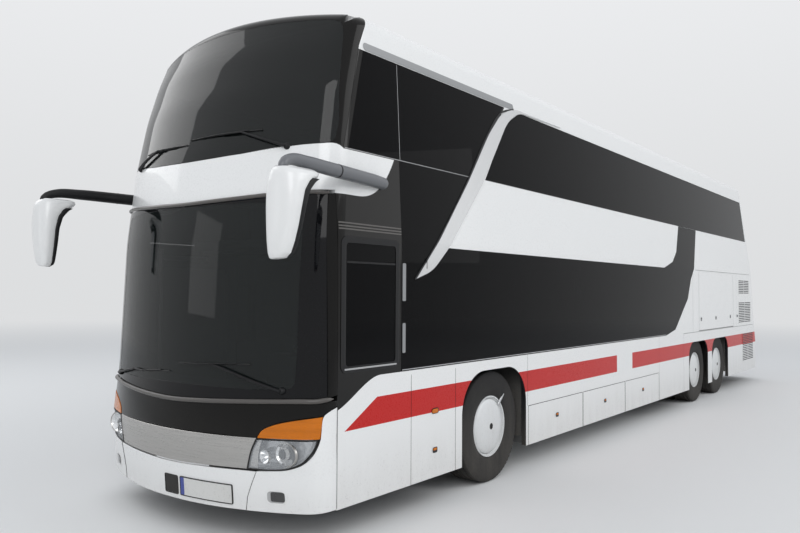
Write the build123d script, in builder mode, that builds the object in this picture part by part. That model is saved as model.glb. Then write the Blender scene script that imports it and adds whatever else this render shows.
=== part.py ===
from build123d import *
import os
from math import acos, atan2, cos, degrees, radians, sin, sqrt, tan

# Double-deck touring coach on three axles, in millimetres.
# The nose points to -Y, the driver's side is +X, and the tyres stand on Z = 0.

# Overall sizes
body_length = 13890
body_width = 2550
body_height = 4000
mirror_reach = 300
sill_height = 250

# Walls, glass and the gaps between pieces
wall = 60
glass = 8
bond = 0.7
seam = 6
door_gap = 9
hinge_gap = 0.7
skirt_skin = 22

# Running gear
front_overhang = 2740
main_wheelbase = 6700
tag_spacing = 1350
tyre_radius = 522
tyre_width = 290
tyre_bead_radius = 287
tyre_face = 1222
twin_spacing = 335
kingpin_offset = 100
stub_radius = 45
hub_clearance = 0.5

# Roof and side form
nose_radius = 2600
nose_corner_radius = 220
tail_radius = 6000
tail_corner_radius = 190
roof_edge_radius = 130
crown_drop = 90
waist_height = 2200
cantrail_height = 3660
cantrail_inset = 76

# Levels
lower_floor_height = 660
aisle_height = 380
platform_height = 620
floor_thickness = 40
upper_floor_height = 2270
upper_floor_thickness = 90
belt_height = 1160
lower_glass_top = 2170
upper_glass_base = 2850
upper_glass_top = 3630

nose_y = (mirror_reach - body_length) / 2
tail_y = nose_y + body_length
front_axle_y = nose_y + front_overhang
drive_axle_y = front_axle_y + main_wheelbase
tag_axle_y = drive_axle_y + tag_spacing
hub_height = tyre_radius
half_width = body_width / 2
wheel_x = tyre_face - tyre_width / 2
kingpin_x = wheel_x - kingpin_offset
far = body_length + body_width

os.makedirs("parts", exist_ok=True)


def station(distance):
    """Y of a place this far behind the nose."""
    return nose_y + distance


def stations(points):
    """Side view outline from pairs of (distance behind the nose, height)."""
    return [(station(distance), height) for distance, height in points]


def save(builder, label):
    """Write one piece out under its own name."""
    builder.part.label = label
    export_step(builder.part, f"parts/{label}.step")


# Columns: height, set-back of the nose, set-back of the tail
body_sections = [
    (sill_height, 40, 30),
    (700, 0, 0),
    (belt_height, 50, 130),
    (waist_height, 100, 380),
    (upper_glass_base, 180, 600),
    (3300, 275, 760),
    (cantrail_height, 390, 905),
    (body_height + 50, 560, 1090),
]


def half_at(height):
    """Half width of the body, which leans in above the waist."""
    rise = max(height - waist_height, 0)
    return half_width - cantrail_inset * rise / (cantrail_height - waist_height)


def plan_outline(height, nose_back, tail_back, inset):
    """Plan section: bowed nose, bowed tail, straight sides and round corners."""
    half = half_at(height) - inset
    nose_r = nose_radius - inset
    nose_c = nose_corner_radius - inset
    tail_r = tail_radius - inset
    tail_c = tail_corner_radius - inset
    nose_centre = nose_y + nose_back + nose_radius
    tail_centre = tail_y - tail_back - tail_radius
    nose_corner_y = nose_centre - sqrt((nose_r - nose_c) ** 2 - (half - nose_c) ** 2)
    tail_corner_y = tail_centre + sqrt((tail_r - tail_c) ** 2 - (half - tail_c) ** 2)
    nose_angle = degrees(atan2(nose_centre - nose_corner_y, half - nose_c))
    tail_angle = degrees(atan2(tail_corner_y - tail_centre, half - tail_c))
    with BuildSketch() as outline:
        with BuildLine():
            CenterArc((0, nose_centre), nose_r, nose_angle - 180, 180 - 2 * nose_angle)
            CenterArc((half - nose_c, nose_corner_y), nose_c, -nose_angle, nose_angle)
            Line((half, nose_corner_y), (half, tail_corner_y))
            CenterArc((half - tail_c, tail_corner_y), tail_c, 0, tail_angle)
            CenterArc((0, tail_centre), tail_r, tail_angle, 180 - 2 * tail_angle)
            CenterArc((tail_c - half, tail_corner_y), tail_c, 180 - tail_angle, tail_angle)
            Line((-half, tail_corner_y), (-half, nose_corner_y))
            CenterArc((nose_c - half, nose_corner_y), nose_c, 180, nose_angle)
        make_face()
    return outline.sketch


def body_form(inset, drop=0):
    """The whole outer form of the coach, taken in by the inset all round."""
    with BuildPart() as form:
        for height, nose_back, tail_back in body_sections:
            base = drop if height == sill_height else 0
            with BuildSketch(Plane.XY.offset(height - base)):
                add(plan_outline(height, nose_back, tail_back, inset))
        loft(ruled=True)
        crown_edge = body_height - crown_drop - inset
        reach = half_width - min(inset, 0)
        with BuildSketch(Plane.XZ):
            with BuildLine():
                ThreePointArc((-reach, crown_edge), (0, body_height - inset), (reach, crown_edge))
                Polyline((reach, crown_edge), (reach, -drop), (-reach, -drop), (-reach, crown_edge))
            make_face()
        extrude(amount=far, both=True, mode=Mode.INTERSECT)
        fillet(form.faces().sort_by(Axis.Z)[-1].edges(), radius=roof_edge_radius - inset)
    return form.part


outer_form = body_form(0)
inner_form = body_form(wall, drop=100)
pane_form = body_form(glass, drop=100)
seat_form = body_form(glass + bond, drop=100)
skirt_form = body_form(skirt_skin, drop=100)

with BuildPart() as shell:
    add(outer_form)
    add(inner_form, mode=Mode.SUBTRACT)


def side_prism(sketch, side=1, start=0):
    """Side view sketch pushed out through one side of the coach, 1 for the driver's side."""
    with BuildPart() as prism:
        with BuildSketch(Plane.YZ.offset(side * start)):
            add(sketch)
        extrude(amount=side * far)
    return prism.part


def end_prism(sketch, end):
    """End view sketch pushed out through the nose, -1, or through the tail, 1."""
    with BuildPart() as prism:
        with BuildSketch(Plane.XZ):
            add(sketch)
        extrude(amount=-end * far)
    return prism.part


def outline(points, radius=0):
    """Closed sketch through the points, with its corners rounded."""
    with BuildSketch() as area:
        with BuildLine():
            Polyline(*points, close=True)
        make_face()
        if radius:
            fillet(area.vertices(), radius=radius)
    return area.sketch


def softened(points, ease=0.42, limit=1500):
    """Closed sketch through the points, each corner rounded as far as its two runs allow."""
    radii = []
    count = len(points)
    for number, (x, y) in enumerate(points):
        before = points[number - 1]
        after = points[(number + 1) % count]
        first = Vector(before[0] - x, before[1] - y)
        second = Vector(after[0] - x, after[1] - y)
        turn = 180 - first.get_angle(second)
        shorter = min(first.length, second.length)
        soft = 0 < turn < 60
        radii.append(min(ease * shorter / tan(radians(turn) / 2), limit) if soft else 0)
    with BuildSketch() as area:
        with BuildLine():
            FilletPolyline(*points, radius=radii, close=True)
        make_face()
    return area.sketch


def side_box(front, back, low, high, radius=0):
    """Side view rectangle between two distances behind the nose."""
    return outline(stations([(front, low), (back, low), (back, high), (front, high)]), radius)


def end_box(left, right, low, high, radius=0):
    """End view rectangle."""
    return outline([(left, low), (right, low), (right, high), (left, high)], radius)


def grown(sketch, amount):
    """The sketch with its edge moved out by the amount, or in where it is negative."""
    with BuildSketch() as area:
        add(sketch)
        offset(amount=amount, kind=Kind.INTERSECTION)
    return area.sketch


def common(first, *others):
    """What the bodies have in common."""
    with BuildPart() as result:
        add(first)
        for other in others:
            add(other, mode=Mode.INTERSECT)
    return result.part


def without(first, *others):
    """The first body with the others taken out of it."""
    with BuildPart() as result:
        add(first)
        for other in others:
            add(other, mode=Mode.SUBTRACT)
    return result.part


def block(x_range, s_range, z_range):
    """Plain block from its range in X, behind the nose and in height."""
    with BuildPart() as solid:
        with BuildSketch(Plane.XY.offset(z_range[0])):
            with BuildLine():
                Polyline((x_range[0], station(s_range[0])), (x_range[1], station(s_range[0])),
                         (x_range[1], station(s_range[1])), (x_range[0], station(s_range[1])), close=True)
            make_face()
        extrude(amount=z_range[1] - z_range[0])
    return solid.part


# Where the body shell is split, as distances behind the nose and heights
top = body_height + 100
low = sill_height - 200
nose_joint = [(505, low), (505, 2600), (590, upper_glass_base), (800, cantrail_height), (1000, top)]
tail_joint = [(13555, low), (13555, 700), (13440, belt_height), (13190, waist_height),
              (12970, upper_glass_base), (12665, cantrail_height), (12480, top)]
bumper_top = 530

nose_zone = outline(stations(nose_joint + [(-mirror_reach, top), (-mirror_reach, low)]))
tail_zone = outline(stations(tail_joint + [(body_length + wall, top), (body_length + wall, low)]))
with BuildSketch() as middle_zone:
    add(side_box(-mirror_reach, body_length + wall, low, top))
    add(nose_zone, mode=Mode.SUBTRACT)
    add(tail_zone, mode=Mode.SUBTRACT)
with BuildSketch() as side_zone:
    add(middle_zone.sketch)
    add(side_box(0, body_length, cantrail_height, top + wall), mode=Mode.SUBTRACT)
with BuildSketch() as roof_zone:
    add(middle_zone.sketch)
    add(side_box(0, body_length, low - wall, cantrail_height), mode=Mode.SUBTRACT)


def through(sketch):
    """Side view sketch pushed right through the coach."""
    with BuildPart() as prism:
        with BuildSketch(Plane.YZ):
            add(sketch)
        extrude(amount=far, both=True)
    return prism.part


# Side glass outlines
upper_front_pane = outline(stations([
    (640, upper_glass_base), (845, upper_glass_top), (2990, upper_glass_top), (2665, 3300), (2305, upper_glass_base)]))
upper_rear_pane = outline(stations([
    (2590, upper_glass_base), (2885, 3260), (3055, 3480), (3330, upper_glass_top),
    (12655, upper_glass_top), (12915, upper_glass_base)]))
lower_pane = outline(stations([
    (1250, belt_height + seam), (7755, belt_height + seam), (8205, 1240), (8605, 1530), (8855, 1710), (9025, 2020),
    (9205, 2200), (9430, upper_glass_base - seam), (8485, upper_glass_base - seam), (8305, 2430), (8095, 2270),
    (7695, lower_glass_top), (1905, lower_glass_top), (1665, 1970), (1435, 1900), (1785, 2250),
    (2275, 2800), (2295, upper_glass_base - seam), (1250, upper_glass_base - seam)]))
driver_window = side_box(565, 1195, 1230, lower_glass_top, 40)
swoosh = softened(stations([
    (1435, 1900), (1785, 2250), (2275, 2800), (2675, 3300), (2945, 3560), (3225, cantrail_height - seam),
    (4300, cantrail_height - seam), (3295, 3630), (3045, 3480), (2875, 3260), (2535, 2820), (1905, 2170), (1665, 1970)]))

# Doors, flaps and arches, as front, back, low and high
front_door_box = (650, 1700, 300, 2240)
middle_door_box = (7560, 8600, 300, 2240)
locker_rows = [(3385, 4735), (4745, 6075), (6085, 7425)]
locker_low = sill_height
locker_high = 640
luggage_box = (9470, 11760, belt_height + seam, 2160)
front_arch_half = 600
front_arch_top = 1070
rear_arch_half = 550
rear_arch_top = 1000

front_arch_corner = 380
rear_arch_corner = 260
arch_low = -2 * rear_arch_corner
with BuildSketch() as arches:
    add(side_box(front_overhang - front_arch_half, front_overhang + front_arch_half, arch_low, front_arch_top,
                 front_arch_corner))
    for axle in (front_overhang + main_wheelbase, front_overhang + main_wheelbase + tag_spacing):
        add(side_box(axle - rear_arch_half, axle + rear_arch_half, arch_low, rear_arch_top, rear_arch_corner))

arch_cut = through(arches.sketch)


def bays(first, last, pitch, pillar, low_edge, high_edge):
    """Row of window openings between two distances behind the nose, with pillars left between."""
    with BuildSketch() as row:
        count = int((last - first) // pitch)
        for number in range(count):
            start = first + number * pitch
            add(side_box(start, start + pitch - pillar, low_edge, high_edge, 30))
    return row.sketch


# Side walls: shell with arches, glass seats and window openings
bay_pitch = 1420
pillar = 90
frame_flange = 55
lower_glazing = outline(stations([
    (1960, 1270), (7720, 1270), (8160, 1330), (8500, 1600), (8740, 1770), (8890, 2060), (8890, 2115), (1960, 2115)]))
panes = [upper_front_pane, upper_rear_pane, lower_pane]
upper_row = bays(700, 12700, bay_pitch, pillar, upper_glass_base, upper_glass_top)
lower_row = bays(1960, 9000, bay_pitch, pillar, belt_height, waist_height)
with BuildSketch() as window_cuts:
    add(grown(upper_front_pane, -frame_flange) + grown(upper_rear_pane, -frame_flange) + lower_glazing)
    add(upper_row + lower_row, mode=Mode.INTERSECT)
    add(side_box(1305, 1890, 1270, 1840))

door_cuts = [side_box(*front_door_box), side_box(*middle_door_box)]
with BuildSketch() as door_zone:
    for cut in door_cuts:
        add(grown(cut, 25))


def wall_panes(side):
    """Outlines of the bonded panes of one side; the doors break the glass of the far side."""
    if side > 0:
        return panes
    result = []
    for pane in panes:
        with BuildSketch() as cut:
            add(pane)
            add(door_zone.sketch, mode=Mode.SUBTRACT)
        result.append(cut.sketch)
    return result


flap_cuts = [side_box(front, back, locker_low - wall, locker_high) for front, back in locker_rows]
flap_cuts.append(side_box(*luggage_box))
house_top = 1100
house_wall = 12
recess_table = [
    # front, back, as distances behind the nose
    (front_overhang - 615, front_overhang + 615),
    (front_overhang + main_wheelbase - 570, front_overhang + main_wheelbase + tag_spacing + 570),
]
with BuildSketch() as wheel_recess:
    for front, back in recess_table:
        add(side_box(front, back, low, house_top + house_wall + bond))

recess_cut = common(through(wheel_recess.sketch), skirt_form)

groove_width = 6
groove_depth = 4
groove_rows = [
    # front, back, low, high
    (1382, 1382 + groove_width, sill_height - wall, belt_height - 30),
    (2032, 2032 + groove_width, sill_height - wall, belt_height - 30),
    (3372, 3372 + groove_width, locker_high + groove_width, belt_height),
    (7436, 7436 + groove_width, sill_height - wall, belt_height),
    (8606, 8606 + groove_width, sill_height - wall, belt_height),
    (8606, 13600, belt_height - groove_width, belt_height),
    (9260, 13300, waist_height - 24, waist_height - 24 + groove_width),
    (9120, 9120 + groove_width, belt_height, waist_height - 24),
    (12000, 12000 + groove_width, belt_height, waist_height - 24),
    (1190, 2330, upper_glass_base - 8, upper_glass_base - 8 + groove_width),
]
groove_form = body_form(groove_depth, drop=100)
grooves = []
for row in groove_rows:
    grooves.append(without(through(side_box(*row)), groove_form))

# Engine air grilles at the rear of both sides: plates with slots, standing just proud
grille_rise = 5
slot_pitch = 34
slot_width = 18
slot_margin = 26
grille_rows = [
    # front, back, low, high
    (12145, 13040, 1770, 2080),
    (12145, 13180, 1200, 1660),
    (12445, 13380, 440, 1020),
]
grille_form = body_form(-grille_rise)
with BuildSketch() as grille_plates:
    for front, back, grille_low, grille_high in grille_rows:
        add(side_box(front, back, grille_low, grille_high, 14))
        slots = int((grille_high - grille_low - slot_margin) // slot_pitch)
        middle = (front + back) / 2
        for number in range(slots):
            slot_low = grille_low + slot_margin + number * slot_pitch
            add(side_box(front + slot_margin, middle - slot_margin / 4, slot_low, slot_low + slot_width),
                mode=Mode.SUBTRACT)
            add(side_box(middle + slot_margin / 4, back - slot_margin, slot_low, slot_low + slot_width),
                mode=Mode.SUBTRACT)
with BuildPart() as rear_grilles:
    for side in (1, -1):
        add(common(grille_form, side_prism(grille_plates.sketch, side)))
    add(outer_form, mode=Mode.SUBTRACT)
save(rear_grilles, "rear_grilles")

for side, name in ((1, "left_wall"), (-1, "right_wall")):
    shell_side = common(shell.part, side_prism(side_zone.sketch, side))
    seats = []
    for sketch in wall_panes(side):
        seats.append(without(side_prism(grown(sketch, seam / 2), side), seat_form))
    openings = [side_prism(window_cuts.sketch, side)]
    if side > 0:
        seats.append(without(side_prism(grown(driver_window, seam / 2), side), seat_form))
        openings.append(side_prism(grown(driver_window, -30), side))
    else:
        openings += [side_prism(cut, side) for cut in door_cuts]
    openings += [side_prism(cut, side) for cut in flap_cuts]
    with BuildPart() as side_wall:
        add(shell_side)
        for cut in [arch_cut, recess_cut] + seats + openings + grooves:
            add(cut, mode=Mode.SUBTRACT)
    save(side_wall, name)

# Bonded side glass
with BuildPart() as side_glass:
    for side in (1, -1):
        for pane in wall_panes(side):
            add(common(outer_form, side_prism(pane, side)))
    add(common(outer_form, side_prism(driver_window)))
    add(pane_form, mode=Mode.SUBTRACT)
save(side_glass, "side_glass")

# Raised swoosh trims, standing proud of the side walls
trim_rise = 12
swoosh_sides = []
for side in (1, -1):
    trim = side_prism(swoosh, side)
    if side < 0:
        trim = without(trim, side_prism(grown(side_box(*front_door_box), 25), side))
    swoosh_sides.append(trim)
trim_form = body_form(-trim_rise)
with BuildPart() as swoosh_trims:
    for trim in swoosh_sides:
        add(common(trim_form, trim))
    add(outer_form, mode=Mode.SUBTRACT)
save(swoosh_trims, "swoosh_trims")

# Nose: mask, bumper, service panel, lamps and windscreens
lower_screen_low = 1075
lower_screen_high = 2465
lower_screen_back = 482
upper_screen = outline([(-1212, 2885), (0, 2820), (1212, 2885), (1118, 3880), (-1118, 3880)], 60)
upper_screen_hole = outline([(-1140, 2960), (0, 2900), (1140, 2960), (1060, 3815), (-1060, 3815)], 50)
lower_screen_hole = end_box(-1150, 1150, 1150, 2400, 60)
panel_half = 770
panel_box = (-panel_half, panel_half, bumper_top, 1050)
lamp_back = 405
headlamp_edge = [(776, 537), (930, 534), (1050, 549), (1159, 594), (1217, 666), (1241, 752), (840, 752)]
indicator_edge = [(842, 758), (849, 776), (872, 816), (942, 853), (1065, 888), (1180, 910), (1246, 922), (1243, 758)]
lamp_table = [
    # lamp, its edge in the end view
    ("headlamps", headlamp_edge),
    ("indicator_lamps", indicator_edge),
]
lower_screen_zone = side_box(-mirror_reach, lower_screen_back, lower_screen_low, lower_screen_high)
nose_shell = common(shell.part, through(nose_zone))
bumper_zone = through(side_box(-mirror_reach, 700, low, bumper_top))
lamp_zone = through(side_box(-mirror_reach, lamp_back, low, top))


def lamp_prism(edge, amount):
    """Both lamps of one kind, pushed through the nose, with the edge moved by the amount."""
    with BuildPart() as pair:
        for side in (1, -1):
            sketch = outline([(side * x, z) for x, z in edge])
            add(end_prism(grown(sketch, amount) if amount else sketch, -1))
    return common(pair.part, lamp_zone)


lamp_cuts = []
for lamp, edge in lamp_table:
    lamp_cuts.append(lamp_prism(edge, 0))
with BuildPart() as front_mask:
    add(nose_shell)
    add(bumper_zone, mode=Mode.SUBTRACT)
    add(end_prism(end_box(*panel_box), -1), mode=Mode.SUBTRACT)
    for cut in lamp_cuts:
        add(cut, mode=Mode.SUBTRACT)
    add(without(through(grown(lower_screen_zone, seam / 2)), seat_form), mode=Mode.SUBTRACT)
    add(without(end_prism(grown(upper_screen, seam / 2), -1), seat_form), mode=Mode.SUBTRACT)
    add(end_prism(lower_screen_hole, -1), mode=Mode.SUBTRACT)
    add(end_prism(upper_screen_hole, -1), mode=Mode.SUBTRACT)
save(front_mask, "front_mask")

tow_cover = (-55, 105, 265, 408)
plate_seat = (125, 645, 262, 414)
plate_seat_depth = 5
fog_seat = (890, 1040, 300, 400)
fog_seat_depth = 30
plate_recess = without(end_prism(end_box(*plate_seat, 6), -1), body_form(plate_seat_depth, drop=100))
fog_form = body_form(fog_seat_depth, drop=100)
fog_recesses = []
for side in (1, -1):
    fog_edge = end_box(*sorted((side * fog_seat[0], side * fog_seat[1])), fog_seat[2], fog_seat[3], 30)
    fog_recesses.append(without(end_prism(fog_edge, -1), fog_form))
with BuildPart() as front_bumper:
    add(common(nose_shell, bumper_zone))
    add(end_prism(end_box(*tow_cover, 12), -1), mode=Mode.SUBTRACT)
    add(plate_recess, mode=Mode.SUBTRACT)
    for cut in fog_recesses:
        add(cut, mode=Mode.SUBTRACT)
save(front_bumper, "front_bumper")

with BuildPart() as front_panel:
    add(common(nose_shell, end_prism(end_box(*panel_box), -1)))
save(front_panel, "front_panel")

for lamp, edge in lamp_table:
    with BuildPart() as lamps:
        add(common(nose_shell, lamp_prism(edge, -bond)))
    save(lamps, lamp)

# Dark bars across the nose: the gutter over the lower windscreen and the apron bar under it
bar_rise = 10
bar_back = 495
gutter_edge = [(1300, 2500), (1100, 2492), (790, 2478), (300, 2455), (0, 2449)]
apron_edge = [(1300, 1014), (1100, 1008), (760, 993), (320, 972), (0, 963)]
bar_table = [
    # lower edge from the corner to the middle, height of the bar
    (gutter_edge, 25),
    (apron_edge, 33),
]
bar_form = body_form(-bar_rise)
bar_zone = through(side_box(-mirror_reach, bar_back, low, top))
with BuildPart() as front_trims:
    for edge, bar_height in bar_table:
        lower = edge + [(-x, z) for x, z in edge[-2::-1]]
        upper = [(x, z + bar_height) for x, z in lower[::-1]]
        add(common(bar_form, end_prism(outline(lower + upper), -1), bar_zone))
    add(outer_form, mode=Mode.SUBTRACT)
save(front_trims, "front_trims")

with BuildPart() as windscreens:
    for prism in (through(lower_screen_zone), end_prism(upper_screen, -1)):
        add(common(outer_form, prism))
    add(pane_form, mode=Mode.SUBTRACT)
save(windscreens, "windscreens")

# Roof with two ventilation hatches, each set off by a groove
hatch_length = 760
hatch_width = 620
hatch_groove = 14
hatch_depth = 10
with BuildSketch() as hatch_lines:
    for hatch_s in (3600, 9300):
        with Locations((0, station(hatch_s + hatch_length / 2))):
            RectangleRounded(hatch_width, hatch_length, 60)
            RectangleRounded(hatch_width - 2 * hatch_groove, hatch_length - 2 * hatch_groove, 50, mode=Mode.SUBTRACT)
with BuildPart() as hatch_grooves:
    add(hatch_lines.sketch)
    extrude(amount=top)
    add(body_form(hatch_depth), mode=Mode.SUBTRACT)
with BuildPart() as roof:
    add(common(shell.part, through(roof_zone.sketch)))
    add(hatch_grooves.part, mode=Mode.SUBTRACT)
save(roof, "roof")

# Tail: rear wall, bumper, engine lid, window and lamps
engine_lid_half = 900
engine_lid_low = 720
engine_lid_high = 1900
rear_window_outline = end_box(-960, 960, 2950, 3560, 80)
tail_shell = common(shell.part, through(tail_zone))
tail_bumper_zone = through(side_box(tail_joint[0][0] - wall, body_length + wall, low, 640))
tail_lamp_cuts = []
for side in (1, -1):
    tail_lamp_cuts.append(end_prism(end_box(*sorted((side * 1000, side * 1170)), 820, 1640, 40), 1))
with BuildPart() as rear_wall:
    add(tail_shell)
    add(tail_bumper_zone, mode=Mode.SUBTRACT)
    add(end_prism(end_box(-engine_lid_half, engine_lid_half, engine_lid_low, engine_lid_high), 1), mode=Mode.SUBTRACT)
    add(without(end_prism(grown(rear_window_outline, seam / 2), 1), seat_form), mode=Mode.SUBTRACT)
    add(end_prism(grown(rear_window_outline, -frame_flange), 1), mode=Mode.SUBTRACT)
    for cut in tail_lamp_cuts:
        add(cut, mode=Mode.SUBTRACT)
save(rear_wall, "rear_wall")

with BuildPart() as rear_bumper:
    add(common(tail_shell, tail_bumper_zone))
save(rear_bumper, "rear_bumper")

with BuildPart() as rear_window:
    add(common(outer_form, end_prism(rear_window_outline, 1)))
    add(pane_form, mode=Mode.SUBTRACT)
save(rear_window, "rear_window")

with BuildPart() as tail_lamps:
    for side in (1, -1):
        lens = end_prism(end_box(*sorted((side * 1001, side * 1169)), 821, 1639, 39), 1)
        add(common(tail_shell, lens))
save(tail_lamps, "tail_lamps")

lid_slot_count = 7
lid_slot_pitch = 60
lid_slot_depth = 14
lid_slot_form = body_form(lid_slot_depth, drop=100)
with BuildSketch() as lid_slots:
    for side in (1, -1):
        for number in range(lid_slot_count):
            slot_low = 980 + number * lid_slot_pitch
            add(end_box(*sorted((side * 130, side * 780)), slot_low, slot_low + lid_slot_pitch / 2, 12))
with BuildPart() as engine_lid:
    lid_half = engine_lid_half - door_gap
    lid_box = end_box(-lid_half, lid_half, engine_lid_low + door_gap, engine_lid_high - hinge_gap)
    add(common(tail_shell, end_prism(lid_box, 1)))
    add(without(end_prism(lid_slots.sketch, 1), lid_slot_form), mode=Mode.SUBTRACT)
save(engine_lid, "engine_lid")

# Side flaps: lockers below the floor and the luggage flaps behind the rear wheels
flap_rows = [(f"locker_flap_{number}", (front, back, locker_low, locker_high))
             for number, (front, back) in enumerate(locker_rows, start=1)]
flap_rows.append(("luggage_flap", luggage_box))
for side, side_name in ((1, "left"), (-1, "right")):
    for name, (front, back, flap_low, flap_high) in flap_rows:
        bottom_gap = door_gap if flap_low > locker_low else 0
        with BuildPart() as flap:
            add(common(shell.part, side_prism(side_box(front + door_gap, back - door_gap, flap_low + bottom_gap,
                                                       flap_high - hinge_gap), side)))
        save(flap, f"{side_name}_{name}")

# Floors
floor_edge = half_width - wall - bond
aisle_half = 340
step_width = 40
with BuildPart() as lower_floor:
    add(block((-aisle_half, aisle_half), (700, 8850), (aisle_height - floor_thickness, aisle_height)))
    add(block((-floor_edge, -aisle_half), (650, 2120), (aisle_height - floor_thickness, aisle_height)))
    for side in (1, -1):
        inner, outer = sorted((side * (aisle_half - step_width), side * aisle_half))
        segments = [(3360, 8850)] if side > 0 else [(3360, 7500), (8660, 8850)]
        for front, back in segments:
            add(block((inner, outer), (front, back), (aisle_height, lower_floor_height)))
            x_range = sorted((side * aisle_half, side * floor_edge))
            add(block(x_range, (front, back), (lower_floor_height - floor_thickness, lower_floor_height)))
    add(block((-floor_edge, -aisle_half), (7500, 8660), (aisle_height - floor_thickness, aisle_height)))
    add(block((aisle_half - step_width, floor_edge), (600, 2120), (platform_height - floor_thickness, platform_height)))
    add(block((aisle_half - step_width, aisle_half), (600, 2120), (aisle_height, platform_height)))
save(lower_floor, "lower_floor")

stair_x = (560, 1160)
stair_s = (3500, 4940)
step_count = 6
floor_form = body_form(wall + bond, drop=100)
with BuildPart() as upper_floor:
    add(common(floor_form, block((-half_width, half_width), (1150, 13300),
                                 (upper_floor_height - upper_floor_thickness, upper_floor_height))))
    add(block((stair_x[0] - 20, half_width), (stair_s[0] + 200, stair_s[1] + 40), (2000, 2400)), mode=Mode.SUBTRACT)
save(upper_floor, "upper_floor")

rise = (upper_floor_height - lower_floor_height) / (step_count + 1)
tread = (stair_s[1] - stair_s[0]) / step_count
stair_points = [(stair_s[0], lower_floor_height + bond)]
for step in range(step_count):
    level = lower_floor_height + rise * (step + 1)
    stair_points.append((stair_s[0] + tread * step, level))
    stair_points.append((stair_s[0] + tread * (step + 1), level))
stair_points.append((stair_s[1], lower_floor_height + rise * step_count - 250))
stair_points.append((stair_s[0] + tread, lower_floor_height + bond))
with BuildPart() as stairs:
    add(common(side_prism(outline(stations(stair_points)), 1, stair_x[0]),
               block(stair_x, (0, body_length), (0, body_height))))
save(stairs, "stairs")

# Locker boxes below the podium and the luggage bay behind the saloon
locker_wall = 12
locker_floor = 262
locker_rim = 4.65
with BuildPart() as locker_boxes:
    for side in (1, -1):
        x_range = sorted((side * (aisle_half + bond), side * floor_edge))
        inner = sorted((side * (aisle_half + bond + locker_wall), side * (floor_edge + wall)))
        box_top = lower_floor_height - floor_thickness - bond
        for front, back in locker_rows:
            bay = block(x_range, (front - locker_rim, back + locker_rim), (locker_floor, box_top))
            space = block(inner, (front + locker_wall, back - locker_wall),
                          (locker_floor + locker_wall, box_top - locker_wall))
            add(without(bay, space))
save(locker_boxes, "locker_boxes")

luggage_floor = 1130
with BuildPart() as luggage_bay:
    bay_top = upper_floor_height - upper_floor_thickness - bond
    add(common(floor_form, block((-half_width, half_width), (8950, 11900), (luggage_floor, bay_top))))
    add(block((-half_width, half_width), (8950 + 40, 11900 - 40), (luggage_floor + 20, bay_top + 100)), mode=Mode.SUBTRACT)
save(luggage_bay, "luggage_bay")

# Wheelhouses
house_inner = 560
axle_opening = 110
with BuildPart() as wheelhouses:
    for side in (1, -1):
        for recess_front, recess_back in recess_table:
            front = recess_front + bond
            back = recess_back - bond
            x_range = sorted((side * house_inner, side * floor_edge))
            cut = sorted((side * (house_inner + house_wall), side * (floor_edge + wall)))
            add(block(x_range, (front, back), (aisle_height - floor_thickness, house_top + house_wall)))
            add(block(cut, (front + house_wall, back - house_wall), (low, house_top)), mode=Mode.SUBTRACT)
    for axle_y in (drive_axle_y, tag_axle_y):
        with BuildSketch(Plane.YZ):
            with Locations((axle_y, hub_height)):
                Circle(axle_opening)
        extrude(amount=house_inner + 2 * house_wall, both=True, mode=Mode.SUBTRACT)
save(wheelhouses, "wheelhouses")

# Chassis rails
rail_inner = 400
rail_outer = 460
front_rail_inner = 255
front_rail_outer = 315
rail_low = 215
rail_top = aisle_height - floor_thickness - bond
rear_rail_low = 960
rear_rail_top = luggage_floor - bond
tow_x = 25
tow_height = 330
tow_front = 112
tow_tube_radius = 32
tow_thread_radius = 13.9
tow_depth = 75
with BuildPart() as chassis:
    for side in (1, -1):
        front_rail = sorted((side * front_rail_inner, side * front_rail_outer))
        rear_rail = sorted((side * rail_inner, side * rail_outer))
        add(block(front_rail, (650, 8950), (rail_low, rail_top)))
        add(block(rear_rail, (8870, 13300), (rear_rail_low, rear_rail_top)))
        add(block(sorted((side * front_rail_inner, side * rail_outer)), (8870, 8950), (rail_low, rear_rail_top)))
    for cross_s in (650, 1500, 3700, 5400, 7400, 8700):
        add(block((-front_rail_outer, front_rail_outer), (cross_s, cross_s + 60), (rail_low, rail_top)))
    with BuildSketch(Plane.XZ.offset(-station(660))):
        with Locations((tow_x, tow_height)):
            Circle(tow_tube_radius)
    extrude(amount=660 - tow_front)
    with BuildSketch(Plane.XZ.offset(-station(tow_front + tow_depth))):
        with Locations((tow_x, tow_height)):
            Circle(tow_thread_radius)
    extrude(amount=tow_depth, mode=Mode.SUBTRACT)
    for cross_s in (10080, 11600):
        add(block((-rail_outer, rail_outer), (cross_s, cross_s + 60), (rear_rail_low, rear_rail_top)))
save(chassis, "chassis")

with BuildPart() as engine_block:
    half = rail_inner - bond
    add(block((-half, half), (12000, 13300), (430, 1100)))
save(engine_block, "engine_block")

# Axles: dropped front beam with kingpin eyes, drive tube and tag tube
eye_radius = 48
eye_half = 45
pin_radius = 22
pin_gap = 0.3
beam_low = 150
beam_high = 205
axle_tube_radius = 70


def tube_x(radius, x_from, x_to, y):
    """Round bar along X at hub height."""
    with BuildPart() as bar:
        with BuildSketch(Plane(origin=(min(x_from, x_to), y, hub_height), x_dir=(0, 1, 0), z_dir=(1, 0, 0))):
            Circle(radius)
        extrude(amount=abs(x_to - x_from))
    return bar.part


def pillar_z(radius, x, y, z_from, z_to):
    """Upright round bar."""
    with BuildPart() as bar:
        with BuildSketch(Plane.XY.offset(z_from)):
            with Locations((x, y)):
                Circle(radius)
        extrude(amount=z_to - z_from)
    return bar.part


def bar_block(x_range, y_range, z_range):
    """Plain block between real coordinates."""
    return block(x_range, (y_range[0] - nose_y, y_range[1] - nose_y), z_range)


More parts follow.
